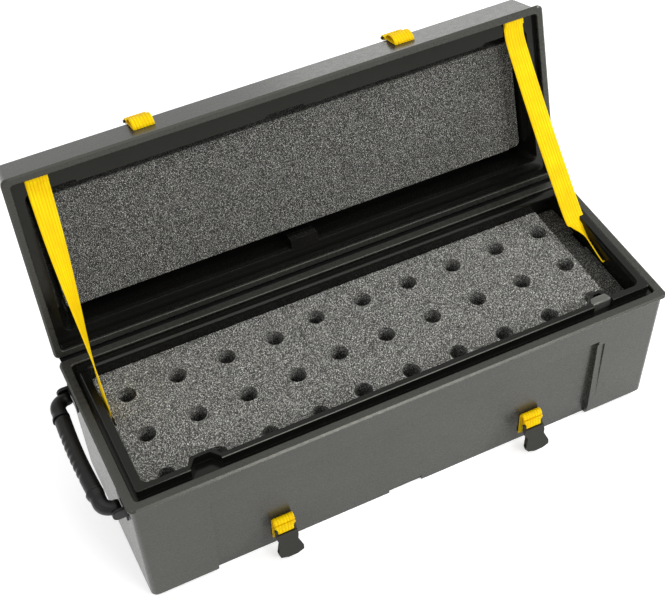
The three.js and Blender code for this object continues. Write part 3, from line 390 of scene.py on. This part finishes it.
SAME_POINT = 0.002 * MM
FLAT_WITHIN = math.radians(1.5)
RIM_SHARPER_THAN = math.radians(60)
LONG_RIM = 1000 * MM
RIM_SEGMENTS = 5
EDGE_SEGMENTS = 3
FLAT_WEIGHT = 90
NODE_SHARP = 35
COPY_SHARP = 50
SOLID_SHARP = 60
BAR_SHARP = 45


def smooth(mesh, degrees):
    """Smooth shading, with the edges sharper than the angle kept sharp."""
    for polygon in mesh.polygons:
        polygon.use_smooth = True
    mesh.set_sharp_from_angle(angle=math.radians(degrees))


def paint(obj, material):
    obj.data.materials.clear()
    obj.data.materials.append(material)


def paint_nodes():
    for name, obj in nodes.items():
        paint(obj, looks[slot_of[name]])
        smooth(obj.data, NODE_SHARP)


def add_object(name, mesh, body, material, replaced=()):
    """Adds a piece that rides on a body and stands for the CAD nodes it replaces."""
    obj = bpy.data.objects.new(name, mesh)
    bpy.context.scene.collection.objects.link(obj)
    paint(obj, material)
    if body:
        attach(obj, body)
    if replaced:
        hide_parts(*replaced)
    return obj


def solid_mesh(name, points, faces, sharp, rounding=None):
    """A closed mesh from points in millimetres, its edges rounded if a rounding is given."""
    mesh = bpy.data.meshes.new(name)
    mesh.from_pydata([tuple(Vector(p) * MM) for p in points], [], faces)
    bm = bmesh.new()
    bm.from_mesh(mesh)
    bmesh.ops.recalc_face_normals(bm, faces=bm.faces)
    if rounding:
        bmesh.ops.bevel(
            bm,
            geom=list(bm.edges),
            offset=rounding * MM,
            segments=RIM_SEGMENTS,
            profile=0.5,
            affect="EDGES",
        )
    bm.to_mesh(mesh)
    bm.free()
    smooth(mesh, sharp)
    return mesh


def bar_faces(rings, points):
    """The faces of a closed bar through equal rings of points, with both ends capped."""
    faces = []
    for ring in range(rings - 1):
        near, far = ring * points, (ring + 1) * points
        for i in range(points):
            j = (i + 1) % points
            faces.append((near + i, near + j, far + j, far + i))
    last = (rings - 1) * points
    faces.append(tuple(reversed(range(points))))
    faces.append(tuple(range(last, last + points)))
    return faces


def edge_group(sharp):
    """Takes one connected group of edges out of the set."""
    group = [sharp.pop()]
    for edge in group:
        for vert in edge.verts:
            for other in vert.link_edges:
                if other in sharp:
                    sharp.remove(other)
                    group.append(other)
    return group


def long_rims(bm):
    """The sharp edges that close on themselves in long plain loops."""
    sharp = {e for e in bm.edges if len(e.link_faces) == 2 and e.calc_face_angle(0.0) > RIM_SHARPER_THAN}
    rims = []
    while sharp:
        group = edge_group(sharp)
        uses = {}
        for edge in group:
            for vert in edge.verts:
                uses[vert] = uses.get(vert, 0) + 1
        plain = all(count == 2 for count in uses.values())
        if plain and sum(e.calc_length() for e in group) > LONG_RIM:
            rims += group
    return rims


def copy_of(node, name, body, material, bevel, angle=40, rim=None):
    """A softened copy of a CAD node that stands for it, with its long plain rims rounded more."""
    mesh = nodes[node].data.copy()
    bm = bmesh.new()
    bm.from_mesh(mesh)
    bmesh.ops.remove_doubles(bm, verts=bm.verts, dist=SAME_POINT)
    bmesh.ops.dissolve_limit(bm, angle_limit=FLAT_WITHIN, verts=bm.verts, edges=bm.edges)
    if rim:
        bmesh.ops.bevel(
            bm,
            geom=long_rims(bm),
            offset=rim * MM,
            offset_type="OFFSET",
            segments=RIM_SEGMENTS,
            profile=0.5,
            affect="EDGES",
            clamp_overlap=True,
        )
    bm.to_mesh(mesh)
    bm.free()
    obj = add_object(name, mesh, body, material, [node])
    soft = obj.modifiers.new("soft_edges", "BEVEL")
    soft.width = bevel * MM
    soft.segments = EDGE_SEGMENTS
    soft.limit_method = "ANGLE"
    soft.angle_limit = math.radians(angle)
    smooth(mesh, COPY_SHARP)
    flat = obj.modifiers.new("flat_faces", "WEIGHTED_NORMAL")
    flat.keep_sharp = True
    flat.weight = FLAT_WEIGHT
    return obj


# Lines and curves

def about_hinge(y, z, angle):
    dy, dz = y - HINGE_Y, z - HINGE_Z
    return (
        math.cos(angle) * dy - math.sin(angle) * dz + HINGE_Y,
        math.sin(angle) * dy + math.cos(angle) * dz + HINGE_Z,
    )


def opened(y, z):
    """The place on the open lid of a point given on the shut one."""
    return about_hinge(y, z, OPEN)


def shut(y, z):
    """The place on the shut lid of a point given on the open one."""
    return about_hinge(y, z, -OPEN)


def clamped(value):
    return min(1.0, max(0.0, value))


def eased(value, low, high):
    """Rises smoothly from nothing at low to one at high."""
    u = clamped((value - low) / (high - low))
    return u * u * (3 - 2 * u)


def arc(cy, cz, radius, start, stop, steps):
    """Points of [y, z] round a centre, from one angle to another in degrees."""
    turns = [math.radians(start + (stop - start) * i / steps) for i in range(steps + 1)]
    return [(cy + radius * math.cos(turn), cz + radius * math.sin(turn)) for turn in turns]


def run(path, end, steps):
    """Carries a line of [y, z] points on, straight to the end given."""
    y, z = path[-1]
    path += [(y + (end[0] - y) * i / steps, z + (end[1] - z) * i / steps) for i in range(1, steps + 1)]


def curve_points(knots, steps):
    """Even steps along a smooth line through the knots."""
    out = []
    last = len(knots) - 1
    for k in range(last):
        p0 = knots[max(k - 1, 0)]
        p1, p2 = knots[k], knots[k + 1]
        p3 = knots[min(k + 2, last)]
        for i in range(steps):
            t = i / steps
            straight = (p2 - p0) * t
            squared = (2 * p0 - 5 * p1 + 4 * p2 - p3) * t * t
            cubed = (3 * p1 - p0 - 3 * p2 + p3) * t * t * t
            out.append((2 * p1 + straight + squared + cubed) / 2)
    out.append(knots[-1])
    return out


def neighbours(points, i):
    return points[max(i - 1, 0)], points[min(i + 1, len(points) - 1)]


# Webbing

RIB_POINTS = 6
RIB_DEPTH = 0.22
RIB_PITCH = 3.3
FULL_RIBS = 9
FEWEST_RIBS = 3
RIBS_END_SHARE = 0.97
EDGE_TAPER = 9
EDGE_THINNING_SHARE = 0.8
EYE_CLEAR = 4.5
EYE_FLARE = 5.0


def webbing_section(ribs):
    """Half width shares and heights round a ribbed strap with thin rounded edges."""
    top = []
    count = ribs * RIB_POINTS
    for i in range(count + 1):
        share = -1 + 2 * i / count
        edge = max(0.0, 1 - (1 - abs(share)) * EDGE_TAPER)
        lift = WEB / 2 * math.sqrt(1 - edge * edge * EDGE_THINNING_SHARE)
        ridge = RIB_DEPTH * (1 + math.cos(2 * math.pi * i / RIB_POINTS)) / 2
        ribbed = abs(share) < RIBS_END_SHARE
        top.append((share, lift - RIB_DEPTH + (ridge if ribbed else 0)))
    return top + [(share, -height) for share, height in reversed(top)]


def ribbon(name, stations, body, replaced=(), ribs=FULL_RIBS):
    """A ribbed strap through stations of (centre, across, normal, width)."""
    section = webbing_section(ribs)
    size = len(section)
    points, lengths = [], [0.0]
    for k, (centre, across, normal, width) in enumerate(stations):
        if k:
            lengths.append(lengths[-1] + (centre - stations[k - 1][0]).length)
        points += [centre + across * (share * width / 2) + normal * height for share, height in section]
    mesh = solid_mesh(name, points, bar_faces(len(stations), size), SOLID_SHARP)
    layer = mesh.uv_layers.new(name="webbing")
    for loop in mesh.loops:
        k, i = divmod(loop.vertex_index, size)
        layer.data[loop.index].uv = (section[i][0] * stations[k][3] / 2 * MM, lengths[k] * MM)
    return add_object(name, mesh, body, web_mat, replaced)


def flat_stations(path, x, width):
    """Stations for a strap that lies across X along [y, z] points, its width a value or a rule."""
    across = Vector((1, 0, 0))
    out = []
    for i, (y, z) in enumerate(path):
        before, after = neighbours(path, i)
        along = Vector((0, after[0] - before[0], after[1] - before[1])).normalized()
        here = width(y, z) if callable(width) else width
        out.append((Vector((x, y, z)), across, across.cross(along), here))
    return out


def widening(narrow, distance, flare):
    """The width of webbing that leaves a narrow eye and widens over the flare."""
    return narrow + (WEB_WIDTH - narrow) * clamped(distance / flare)


# Shells and liners

PIECE_EDGE = 1.4
SHELL_RIM = 1.6


def make_shells():
    copy_of("base_shell", "base_tub", "base", shell_mat, PIECE_EDGE, rim=SHELL_RIM)
    copy_of("base_liner", "base_inner", "base", painted_shade_liner_mat, PIECE_EDGE)
    copy_of("lid_shell", "lid_cover", "lid", shell_mat, PIECE_EDGE, rim=SHELL_RIM)
    copy_of("lid_liner", "lid_inner", "lid", painted_shade_liner_mat, PIECE_EDGE)


# The raised pad in the front tongue's jog, near the right end

PAD_FROM_END = 75.0
PAD_LENGTH = 36.0
PAD_SLANT = 5.0
PAD_FROM_FRONT = 24.5
PAD_WIDTH = 13.0
PAD_BELOW_RIM = 11.0
PAD_PROUD = 0.2
PAD_ROUNDING = 3.2


def make_jog_pad():
    right = HALF_LENGTH - PAD_FROM_END
    left = right - PAD_LENGTH
    front = PAD_FROM_FRONT - HALF_DEPTH
    back = front + PAD_WIDTH
    low, high = RIM - PAD_BELOW_RIM, box_mm("base_liner")[1][2] + PAD_PROUD
    outline = ((left, front), (left + PAD_SLANT, back), (right - PAD_SLANT, back), (right, front))
    points = [(x, y, z) for z in (low, high) for x, y in outline]
    corners = len(outline)
    mesh = solid_mesh("jog_pad", points, bar_faces(2, corners), SOLID_SHARP, PAD_ROUNDING)
    add_object("jog_pad", mesh, "base", painted_highlight_pad_mat)


# Foam


def make_foam():
    for node, name, body, material in (
        ("foam_block_left", "foam_left", "base", foam_mat),
        ("foam_block_right", "foam_right", "base", foam_mat),
        # The end strip's darker foam is a painted shadow of the right end wall; the floor pad takes the same
        # colour
        ("trough_foam", "end_strip", "base", painted_shadow_foam_mat),
        ("foam_floor_pad", "floor_pad", "base", painted_shadow_foam_mat),
        ("lid_foam", "lid_pad", "lid", lid_foam_mat),
        ("lid_foam_strip", "lid_strip_pad", "lid", lid_foam_mat),
    ):
        copy_of(node, name, body, material, PIECE_EDGE)


# Stays: flat on the lid's lip, then turning edge-on beside the base's end walls

STAY_FROM_END = 45.0
LINER_INSIDE_FROM_END = 32.2
STAY_FROM_FRONT = 12.5
STAY_LID_LENGTH = 26.0
HEM_LENGTH = 7.2
STAY_X = HALF_LENGTH - STAY_FROM_END
STAY_WALL_X = HALF_LENGTH - LINER_INSIDE_FROM_END - 2 * PLAY - WEB / 2
STAY_Y = 30.0
STAY_LID_FROM = STAY_FROM_FRONT - HALF_DEPTH
STAY_LID_TO = STAY_LID_FROM + STAY_LID_LENGTH
STAY_LID_RISE = 9.5
STAY_LID_Z = RIM + STAY_LID_RISE - 2 * PLAY - WEB / 2
STAY_SAG = 5.0
STAY_SAG_SHARES = (0.25, 0.5, 0.75)
STAY_LIP_SHARE = 0.6
STAY_CREASE_SHARE = 0.04
STAY_STEPS = 10
HEM_PROUD = 2.7
HEM_TO = STAY_LID_FROM + HEM_LENGTH
HEM_OVERLAP = 2.0

# Where a stay runs down the wall: inwards from it, backwards from the anchor and up from the rim
LEFT_FOOT = ((0, 12, 8), (0, 7, -18), (0, 0, -40.5))
RIGHT_FOOT = ((4, 16, 10), (2.6, 2, 3), (2.6, -30, -6), (2.6, -58, -13), (1.0, -62, -12))


def twisted(points, turns, edge, widths):
    """Stations along points, turned about their own line from lying flat to lying along the edge given."""
    flat = Vector((1, 0, 0))
    out = []
    for i, (centre, turn, width) in enumerate(zip(points, turns, widths)):
        before, after = neighbours(points, i)
        along = (after - before).normalized()
        on_edge = (edge - along * edge.dot(along)).normalized()
        on_flat = (flat - along * flat.dot(along)).normalized()
        across = (on_flat * math.cos(turn) + on_edge * math.sin(turn)).normalized()
        out.append((centre, across, across.cross(along).normalized(), width))
    return out


def make_stay(side, s, foot, edge, turn_shares, tail_width, tail_from_share):
    """One stay, which narrows towards its foot, drawn where it hangs with the lid open."""
    start, bend = (Vector((s * STAY_X, *opened(y, STAY_LID_Z))) for y in (STAY_LID_FROM, STAY_LID_TO))
    foot = [Vector((s * (STAY_WALL_X - x), STAY_Y + y, RIM + z)) for x, y, z in foot]
    knots = [start, start.lerp(bend, STAY_LIP_SHARE), bend.lerp(foot[0], STAY_CREASE_SHARE)]
    for share in STAY_SAG_SHARES:
        sag = STAY_SAG * math.sin(math.pi * share)
        knots.append(bend.lerp(foot[0], share) - Vector((0, 0, sag)))
    points = curve_points(knots + foot, STAY_STEPS)
    turn_from, turn_to = turn_shares
    tail_to = tail_from_share + 1 - turn_to
    shares = [i / (len(points) - 1) for i in range(len(points))]
    turns = [QUARTER * eased(share, turn_from, turn_to) for share in shares]
    narrowed = [eased(share, tail_from_share, tail_to) for share in shares]
    widths = [WEB_WIDTH + (tail_width - WEB_WIDTH) * share for share in narrowed]
    stations = twisted(points, turns, Vector(edge), widths)
    obj = ribbon("stay_webbing_" + side, stations, None, ["stay_" + side])
    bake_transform(obj)


def make_stay_hem(side, s):
    """The stay's end folded back over its rivet on the lid's lip."""
    near = STAY_LID_Z
    far = near - HEM_PROUD
    path = [(HEM_TO, far)]
    run(path, (STAY_LID_FROM, far), steps=4)
    path += arc(STAY_LID_FROM, (near + far) / 2, HEM_PROUD / 2, start=270, stop=90, steps=8)[1:]
    run(path, (STAY_LID_FROM + HEM_OVERLAP, near), steps=1)
    stations = flat_stations([opened(*p) for p in path], s * STAY_X, WEB_WIDTH)
    ribbon("stay_hem_" + side, stations, "lid")


def make_stays():
    make_stay(
        "left",
        -1,
        LEFT_FOOT,
        edge=(0, 1, 0),
        turn_shares=(0.12, 0.8),
        tail_width=13.0,
        tail_from_share=0.78,
    )
    make_stay(
        "right",
        1,
        RIGHT_FOOT,
        edge=(0.452, 0.553, -0.699),
        turn_shares=(0.7, 0.78),
        tail_width=4.5,
        tail_from_share=0.62,
    )
    for side, s in SIDES:
        make_stay_hem(side, s)


# Latch webbing: a tab from the wall folds forwards over the top and runs down to the buckle's bar

FOLD_RADIUS = 4.95
FOLD_BACK = 2.0
FOLD_LEAN = 0.1
FOLD_STOP = 1.5
LATCH_EYE_TOP = 3.0
LATCH_EYE_END = 6.0


def make_latch_webbing(side):
    x, bar_y, bar_z = pivot("socket_" + side + "_swing")
    low, high = box_mm("latch_web_left")
    fold_y = high[1] - WEB / 2 - FOLD_RADIUS
    fold_z = high[2] - WEB / 2 - FOLD_RADIUS
    back = fold_y - FOLD_RADIUS - FOLD_BACK
    path = [(fold_y + FOLD_RADIUS, low[2])]
    run(path, (fold_y + FOLD_RADIUS, fold_z), steps=4)
    path += arc(fold_y, fold_z, FOLD_RADIUS, start=0, stop=180, steps=10)[1:]
    run(path, (bar_y + EYE_RADIUS, bar_z + LATCH_EYE_TOP), steps=3)
    path += arc(bar_y, bar_z, EYE_RADIUS, start=0, stop=-180, steps=10)
    run(path, (back - FOLD_LEAN, bar_z + LATCH_EYE_END), steps=2)
    run(path, (back, fold_z - FOLD_STOP), steps=3)

    def width(y, z):
        from_bar = math.hypot(y - bar_y, z - bar_z)
        return widening(EYE_WIDTH, from_bar - EYE_CLEAR, EYE_FLARE)

    stations = flat_stations(path, x, width)
    ribbon("latch_webbing_" + side, stations, "base", ["latch_web_" + side])


# Lid webbing, drawn as on the shut lid: a proud loop, its strip, and two eyes beside the strap's own

LID_WALL_FROM_FRONT = 5.0
LOOP_FROM = 34.0
LOOP_TO = 62.0
LOOP_PROUD = 8.0
LOOP_STEPS = 24
LOOP_LIFT = 0.9
LOOP_FULLNESS = 0.8
LOOP_LEAN_SHARE = 0.12
LOOP_FOOT_SHARE = 0.98
STRAP_NECK = 8.5
LID_WEB_FACE = LID_WALL_FROM_FRONT - HALF_DEPTH - PLAY - WEB / 2
STRIP_BELOW_LOOP = 1.0
STRIP_TUCK = 0.4
STRIP_STOP = 1.0
EYE_TUCK = 0.35
EYE_STOP = 2.0
EYE_TURN_BELOW = 1.5
EYE_LAP = 0.4
EYE_LAP_STOP = 1.5


def loop_path():
    middle = RIM + (LOOP_FROM + LOOP_TO) / 2
    half = (LOOP_TO - LOOP_FROM) / 2
    path = []
    for i in range(LOOP_STEPS + 1):
        turn = math.pi * (i / LOOP_STEPS)
        swell = LOOP_PROUD * math.sin(turn) ** LOOP_FULLNESS
        lean = LOOP_LEAN_SHARE * half * math.sin(2 * turn)
        rise = -half * LOOP_FOOT_SHARE * math.cos(turn)
        path.append((LID_WEB_FACE - LOOP_LIFT - swell, middle + rise + lean))
    return path


def strip_path(bar_y, bar_z):
    path = [(LID_WEB_FACE, RIM + LOOP_FROM - STRIP_BELOW_LOOP)]
    run(path, (LID_WEB_FACE, RIM + LOOP_TO), steps=5)
    run(path, (bar_y - EYE_RADIUS + STRIP_TUCK, bar_z - STRAP_NECK + STRIP_STOP), steps=3)
    return path


def eye_path(bar_y, bar_z):
    path = [(bar_y - EYE_RADIUS + EYE_TUCK, bar_z - STRAP_NECK + EYE_STOP)]
    run(path, (bar_y - EYE_RADIUS, bar_z - EYE_TURN_BELOW), steps=2)
    path += arc(bar_y, bar_z, EYE_RADIUS, start=180, stop=-20, steps=12)
    run(path, (bar_y - EYE_RADIUS + WEB + EYE_LAP, bar_z - STRAP_NECK + EYE_LAP_STOP), steps=2)
    return path


def lid_band(name, path, x, width, replaced=()):
    stations = flat_stations([opened(*p) for p in path], x, width)
    ribbon(name, stations, "lid", replaced, max(FEWEST_RIBS, round(width / RIB_PITCH)))


def make_lid_webbing(side):
    x = pivot("strap_" + side + "_swing")[0]
    bar_y, bar_z = shut(*pivot("strap_left_swing")[1:])
    half_eye = (WEB_WIDTH - MIDDLE_EYE) / 2 - PLAY
    from_middle = (WEB_WIDTH - half_eye) / 2
    lid_band("lid_webbing_loop_" + side, loop_path(), x, WEB_WIDTH, ["lid_web_" + side])
    lid_band("lid_webbing_strip_" + side, strip_path(bar_y, bar_z), x, WEB_WIDTH)
    for letter, way in (("a", -1), ("b", 1)):
        name = "lid_webbing_eye_" + letter + "_" + side
        lid_band(name, eye_path(bar_y, bar_z), x + way * from_middle, half_eye)


# Straps that hang from the lid's bars down to their plugs, sewn back on themselves at both ends

STRAP_LENGTH = 150.0
STRAP_LAP = 30.0
STRAP_LAP_GAP = 0.2
STRAP_SHOULDER = 12.0
STRAP_EYE_TURN = 2.5
STRAP_NECK_FLARE = 6.0


def make_strap(side):
    x, bar_y, bar_z = pivot("strap_" + side + "_swing")
    plug_z = bar_z - STRAP_LENGTH
    lap_y = bar_y + WEB + STRAP_LAP_GAP
    path = [(lap_y, bar_z - STRAP_LAP)]
    run(path, (lap_y, bar_z - STRAP_SHOULDER), steps=3)
    run(path, (bar_y + EYE_RADIUS, bar_z - STRAP_EYE_TURN), steps=3)
    path += arc(bar_y, bar_z, EYE_RADIUS, start=0, stop=180, steps=12)
    run(path, (bar_y, bar_z - STRAP_SHOULDER), steps=4)
    run(path, (bar_y, plug_z + STRAP_SHOULDER), steps=16)
    run(path, (bar_y - EYE_RADIUS, plug_z + STRAP_EYE_TURN), steps=3)
    path += arc(bar_y, plug_z, EYE_RADIUS, start=180, stop=360, steps=12)
    run(path, (lap_y, plug_z + STRAP_SHOULDER), steps=3)
    run(path, (lap_y, plug_z + STRAP_LAP), steps=3)

    def width(y, z):
        if bar_z - z < WEB_WIDTH / 2:
            return widening(MIDDLE_EYE, bar_z - z - STRAP_NECK, STRAP_NECK_FLARE)
        return widening(EYE_WIDTH, z - plug_z - EYE_CLEAR, EYE_FLARE)

    stations = flat_stations(path, x, width)
    ribbon("strap_webbing_" + side, stations, "strap_" + side, ["lid_strap_" + side])


# Buckles

BUCKLE_SHARP = 25
SOCKET_EDGE = 1.1
PLUG_EDGE = 0.9


def make_buckle(side):
    socket = "socket_" + side
    copy_of("buckle_socket_" + side, socket, socket, buckle_mat, SOCKET_EDGE, BUCKLE_SHARP)
    copy_of("buckle_plug_" + side, "plug_" + side, "strap_" + side, buckle_mat, PLUG_EDGE, BUCKLE_SHARP)


# Handle: two rounded elbows on a core, and a bowed grip with finger scallops

HANDLE_X, _, HANDLE_Z = pivot("handle_swing")
BAIL_END = box_mm("handle_bail")[1][1]
GRIP_LOW, GRIP_HIGH = box_mm("handle_grip")
GRIP_HALF = GRIP_HIGH[1]
GRIP_SET_IN = 1.2
GRIP_X = (GRIP_LOW[0] + GRIP_HIGH[0]) / 2 + GRIP_SET_IN
GRIP_RADIUS = 10.8
GRIP_BOW = 2.4
GRIP_STEPS = 132
GRIP_END = 3.5
GRIP_END_DROP_SHARE = 0.22
SCALLOP_DEPTH = 1.3
SCALLOP_PITCH = 11.5
SCALLOP_FULLNESS = 1.5
SCALLOPS_FADE_SHARES = (0.3, 0.45)
ARM_OUT = 8.5
ARM_Y = (BAIL_END + GRIP_HALF) / 2 + ARM_OUT
ARM_HALF = 9.2
CORE_RADIUS = 4.6
CORE_SHARES = (-0.9, -0.6, -0.3, 0, 0.3, 0.6, 0.9)
EYE_HALF = 7.4
EYE_THINNEST_SHARE = 0.02
ELBOW_HALF = 10.2
LIP_GAP = 0.4
LIP_FLARE = 2.6
LIP_FROM_SHARE = 0.4
LIP_INNER_SHARE = 0.3
LIP_RISE_SHARE = 0.4
EYE_STEPS = 6
CORNER_STEPS = 12
LIP_STEPS = 6
BAR_POINTS = 32
ELBOW_SQUARENESS = 2.4
GRIP_SQUARENESS = 2.1
BRACKET_EDGE = 1.6
AWAY = Vector((-1, 0, 0))


def round_bar(name, stations, replaced, squareness):
    """A closed round-cornered bar through stations of (centre, outward, out, inwards, rise)."""
    power = 2 / squareness
    points = []
    for centre, outward, out, inwards, rise in stations:
        for i in range(BAR_POINTS):
            turn = 2 * math.pi * i / BAR_POINTS
            c, d = math.cos(turn), math.sin(turn)
            across = math.copysign(abs(c) ** power, c) * (out if c > 0 else inwards)
            up = math.copysign(abs(d) ** power, d) * rise
            points.append(centre + outward * across + Vector((0, 0, up)))
    mesh = solid_mesh(name, points, bar_faces(len(stations), BAR_POINTS), BAR_SHARP)
    add_object(name, mesh, "handle", rubber_mat, [replaced])


def eye_stations(s):
    """The rounded end of an arm, round its pivot."""
    out = []
    for i in range(EYE_STEPS + 1):
        left = 1 - i / EYE_STEPS
        centre = Vector((HANDLE_X + EYE_HALF * left, s * ARM_Y, HANDLE_Z))
        rise = EYE_HALF * math.sqrt(max(EYE_THINNEST_SHARE, 1 - left * left))
        out.append((centre, Vector((0, s, 0)), ARM_HALF, ARM_HALF, rise))
    return out


def corner_stations(s, reach):
    """The quarter turn from the arm into the line of the grip."""
    out = []
    for i in range(1, CORNER_STEPS + 1):
        share = i / CORNER_STEPS
        turn = QUARTER * share
        y = ARM_Y - reach * (1 - math.cos(turn))
        centre = Vector((HANDLE_X - reach * math.sin(turn), s * y, HANDLE_Z))
        outward = Vector((-math.sin(turn), s * math.cos(turn), 0))
        half = ARM_HALF + (ELBOW_HALF - ARM_HALF) * share
        rise = EYE_HALF + (ELBOW_HALF - EYE_HALF) * eased(share, 0, 1)
        out.append((centre, outward, half, half, rise))
    return out


def lip_stations(s, start):
    """The flared lip that meets the grip, and the step down to the core."""
    lip = GRIP_HALF + LIP_GAP
    out = []
    for i in range(1, LIP_STEPS + 1):
        share = i / LIP_STEPS
        flare = LIP_FLARE * eased(share, LIP_FROM_SHARE, 1.0)
        centre = Vector((GRIP_X, s * (start + (lip - start) * share), HANDLE_Z))
        inner = ELBOW_HALF + flare * LIP_INNER_SHARE
        rise = ELBOW_HALF + flare * LIP_RISE_SHARE
        out.append((centre, AWAY, ELBOW_HALF + flare, inner, rise))
    end = Vector((GRIP_X, s * lip, HANDLE_Z))
    out.append((end, AWAY, CORE_RADIUS, CORE_RADIUS, CORE_RADIUS))
    return out


def elbow_stations(s):
    reach = abs(GRIP_X - HANDLE_X)
    return eye_stations(s) + corner_stations(s, reach) + lip_stations(s, ARM_Y - reach)


def core_stations():
    """The core inside the grip, bowed half as much as the grip."""
    out = []
    for share in CORE_SHARES:
        bow = GRIP_BOW / 2 * math.cos(QUARTER * share)
        centre = Vector((GRIP_X - bow, GRIP_HALF * share, HANDLE_Z))
        out.append((centre, AWAY, CORE_RADIUS, CORE_RADIUS, CORE_RADIUS))
    return out


def grip_stations():
    out = []
    for i in range(GRIP_STEPS + 1):
        y = -GRIP_HALF + 2 * GRIP_HALF * i / GRIP_STEPS
        share = y / GRIP_HALF
        inwards = 1 - abs(share)
        bow = GRIP_BOW * math.cos(QUARTER * share)
        to_end = 1 - min(1.0, inwards * GRIP_HALF / GRIP_END)
        radius = GRIP_RADIUS * (1 - GRIP_END_DROP_SHARE * (1 - math.sqrt(1 - to_end * to_end)))
        crest = (1 + math.cos(2 * math.pi * y / SCALLOP_PITCH)) / 2
        scallop = SCALLOP_DEPTH * eased(inwards, *SCALLOPS_FADE_SHARES) * crest ** SCALLOP_FULLNESS
        centre = Vector((GRIP_X - bow, y, HANDLE_Z))
        out.append((centre, AWAY, radius - scallop, radius, radius))
    return out


def make_handle():
    for end in ("front", "back"):
        copy_of("handle_bracket_" + end, "bracket_" + end, "base", rubber_mat, BRACKET_EDGE)
    arms = elbow_stations(-1) + core_stations() + list(reversed(elbow_stations(1)))
    round_bar("handle_arms", arms, "handle_bail", ELBOW_SQUARENESS)
    round_bar("handle_tube", grip_stations(), "handle_grip", GRIP_SQUARENESS)


# Floor, background and light

FLOOR_HALF = 12.0
FLOOR_Z = -0.0004
FLOOR_COLOUR = (0.86, 0.86, 0.86, 1)
FLOOR_GLOW = 0.55
WHITE = (1, 1, 1, 1)
SKY_STRENGTH = 0.55
SEEN_SKY_STRENGTH = 1.0
LAMP_AIM = (0, 0, 0.2)


def seen_or_mirrored(tree, path):
    """One for rays from the camera and for rays off glossy surfaces."""
    return maths(tree, "MAXIMUM", path.outputs["Is Camera Ray"], path.outputs["Is Glossy Ray"])


def floor_material():
    """Pale floor that looks white where it is lit, and keeps the case's shadow."""
    material = bpy.data.materials.new("pale_floor")
    material.use_nodes = True
    tree = material.node_tree
    tree.nodes.clear()
    out = tree.nodes.new("ShaderNodeOutputMaterial")
    matt = tree.nodes.new("ShaderNodeBsdfDiffuse")
    matt.inputs["Color"].default_value = FLOOR_COLOUR
    glow = tree.nodes.new("ShaderNodeEmission")
    glow.inputs["Color"].default_value = WHITE
    path = tree.nodes.new("ShaderNodeLightPath")
    through = path.outputs["Is Transmission Ray"]
    lit = maths(tree, "MAXIMUM", seen_or_mirrored(tree, path), through)
    tree.links.new(maths(tree, "MULTIPLY", lit, FLOOR_GLOW), glow.inputs["Strength"])
    both = tree.nodes.new("ShaderNodeAddShader")
    tree.links.new(matt.outputs["BSDF"], both.inputs[0])
    tree.links.new(glow.outputs["Emission"], both.inputs[1])
    tree.links.new(both.outputs["Shader"], out.inputs["Surface"])
    return material


def make_floor():
    mesh = bpy.data.meshes.new("floor")
    corners = [(x * FLOOR_HALF, y * FLOOR_HALF, FLOOR_Z) for x, y in ((-1, -1), (1, -1), (1, 1), (-1, 1))]
    mesh.from_pydata(corners, [], [(0, 1, 2, 3)])
    floor = bpy.data.objects.new("floor", mesh)
    bpy.context.scene.collection.objects.link(floor)
    mesh.materials.append(floor_material())


def backdrop(tree, strength):
    node = tree.nodes.new("ShaderNodeBackground")
    node.inputs["Color"].default_value = WHITE
    node.inputs["Strength"].default_value = strength
    return node.outputs["Background"]


def make_world():
    world = bpy.data.worlds.new("studio")
    bpy.context.scene.world = world
    world.use_nodes = True
    tree = world.node_tree
    tree.nodes.clear()
    out = tree.nodes.new("ShaderNodeOutputWorld")
    path = tree.nodes.new("ShaderNodeLightPath")
    mix = tree.nodes.new("ShaderNodeMixShader")
    tree.links.new(seen_or_mirrored(tree, path), mix.inputs["Fac"])
    tree.links.new(backdrop(tree, SKY_STRENGTH), mix.inputs[1])
    tree.links.new(backdrop(tree, SEEN_SKY_STRENGTH), mix.inputs[2])
    tree.links.new(mix.outputs["Shader"], out.inputs["Surface"])


def lamp(name, place, size, power, aim=LAMP_AIM):
    data = bpy.data.lights.new(name, "AREA")
    data.shape = "RECTANGLE"
    data.size, data.size_y = size
    data.energy = power
    obj = bpy.data.objects.new(name, data)
    obj.location = place
    obj.rotation_euler = (Vector(aim) - Vector(place)).to_track_quat("-Z", "Y").to_euler()
    bpy.context.scene.collection.objects.link(obj)


def make_lamps():
    lamp("key", place=(2.3, -0.7, 1.9), size=(1.0, 1.0), power=36)
    lamp("top", place=(0.2, 0.5, 3.0), size=(2.4, 1.6), power=12)
    lamp("back", place=(2.0, 3.2, 0.95), size=(2.2, 0.8), power=12, aim=(0, 0.2, 0.4))
    lamp("front", place=(0.9, -2.5, 2.1), size=(1.5, 0.6), power=32)
    lamp("side", place=(-2.4, -0.4, 1.6), size=(1.4, 1.4), power=6)


make_camera()
paint_nodes()
make_shells()
make_jog_pad()
make_foam()
make_stays()
for part_maker in (make_latch_webbing, make_lid_webbing, make_strap, make_buckle):
    for side, _ in SIDES:
        part_maker(side)
make_handle()
make_floor()
make_world()
make_lamps()

bpy.context.scene.view_settings.view_transform = "Standard"
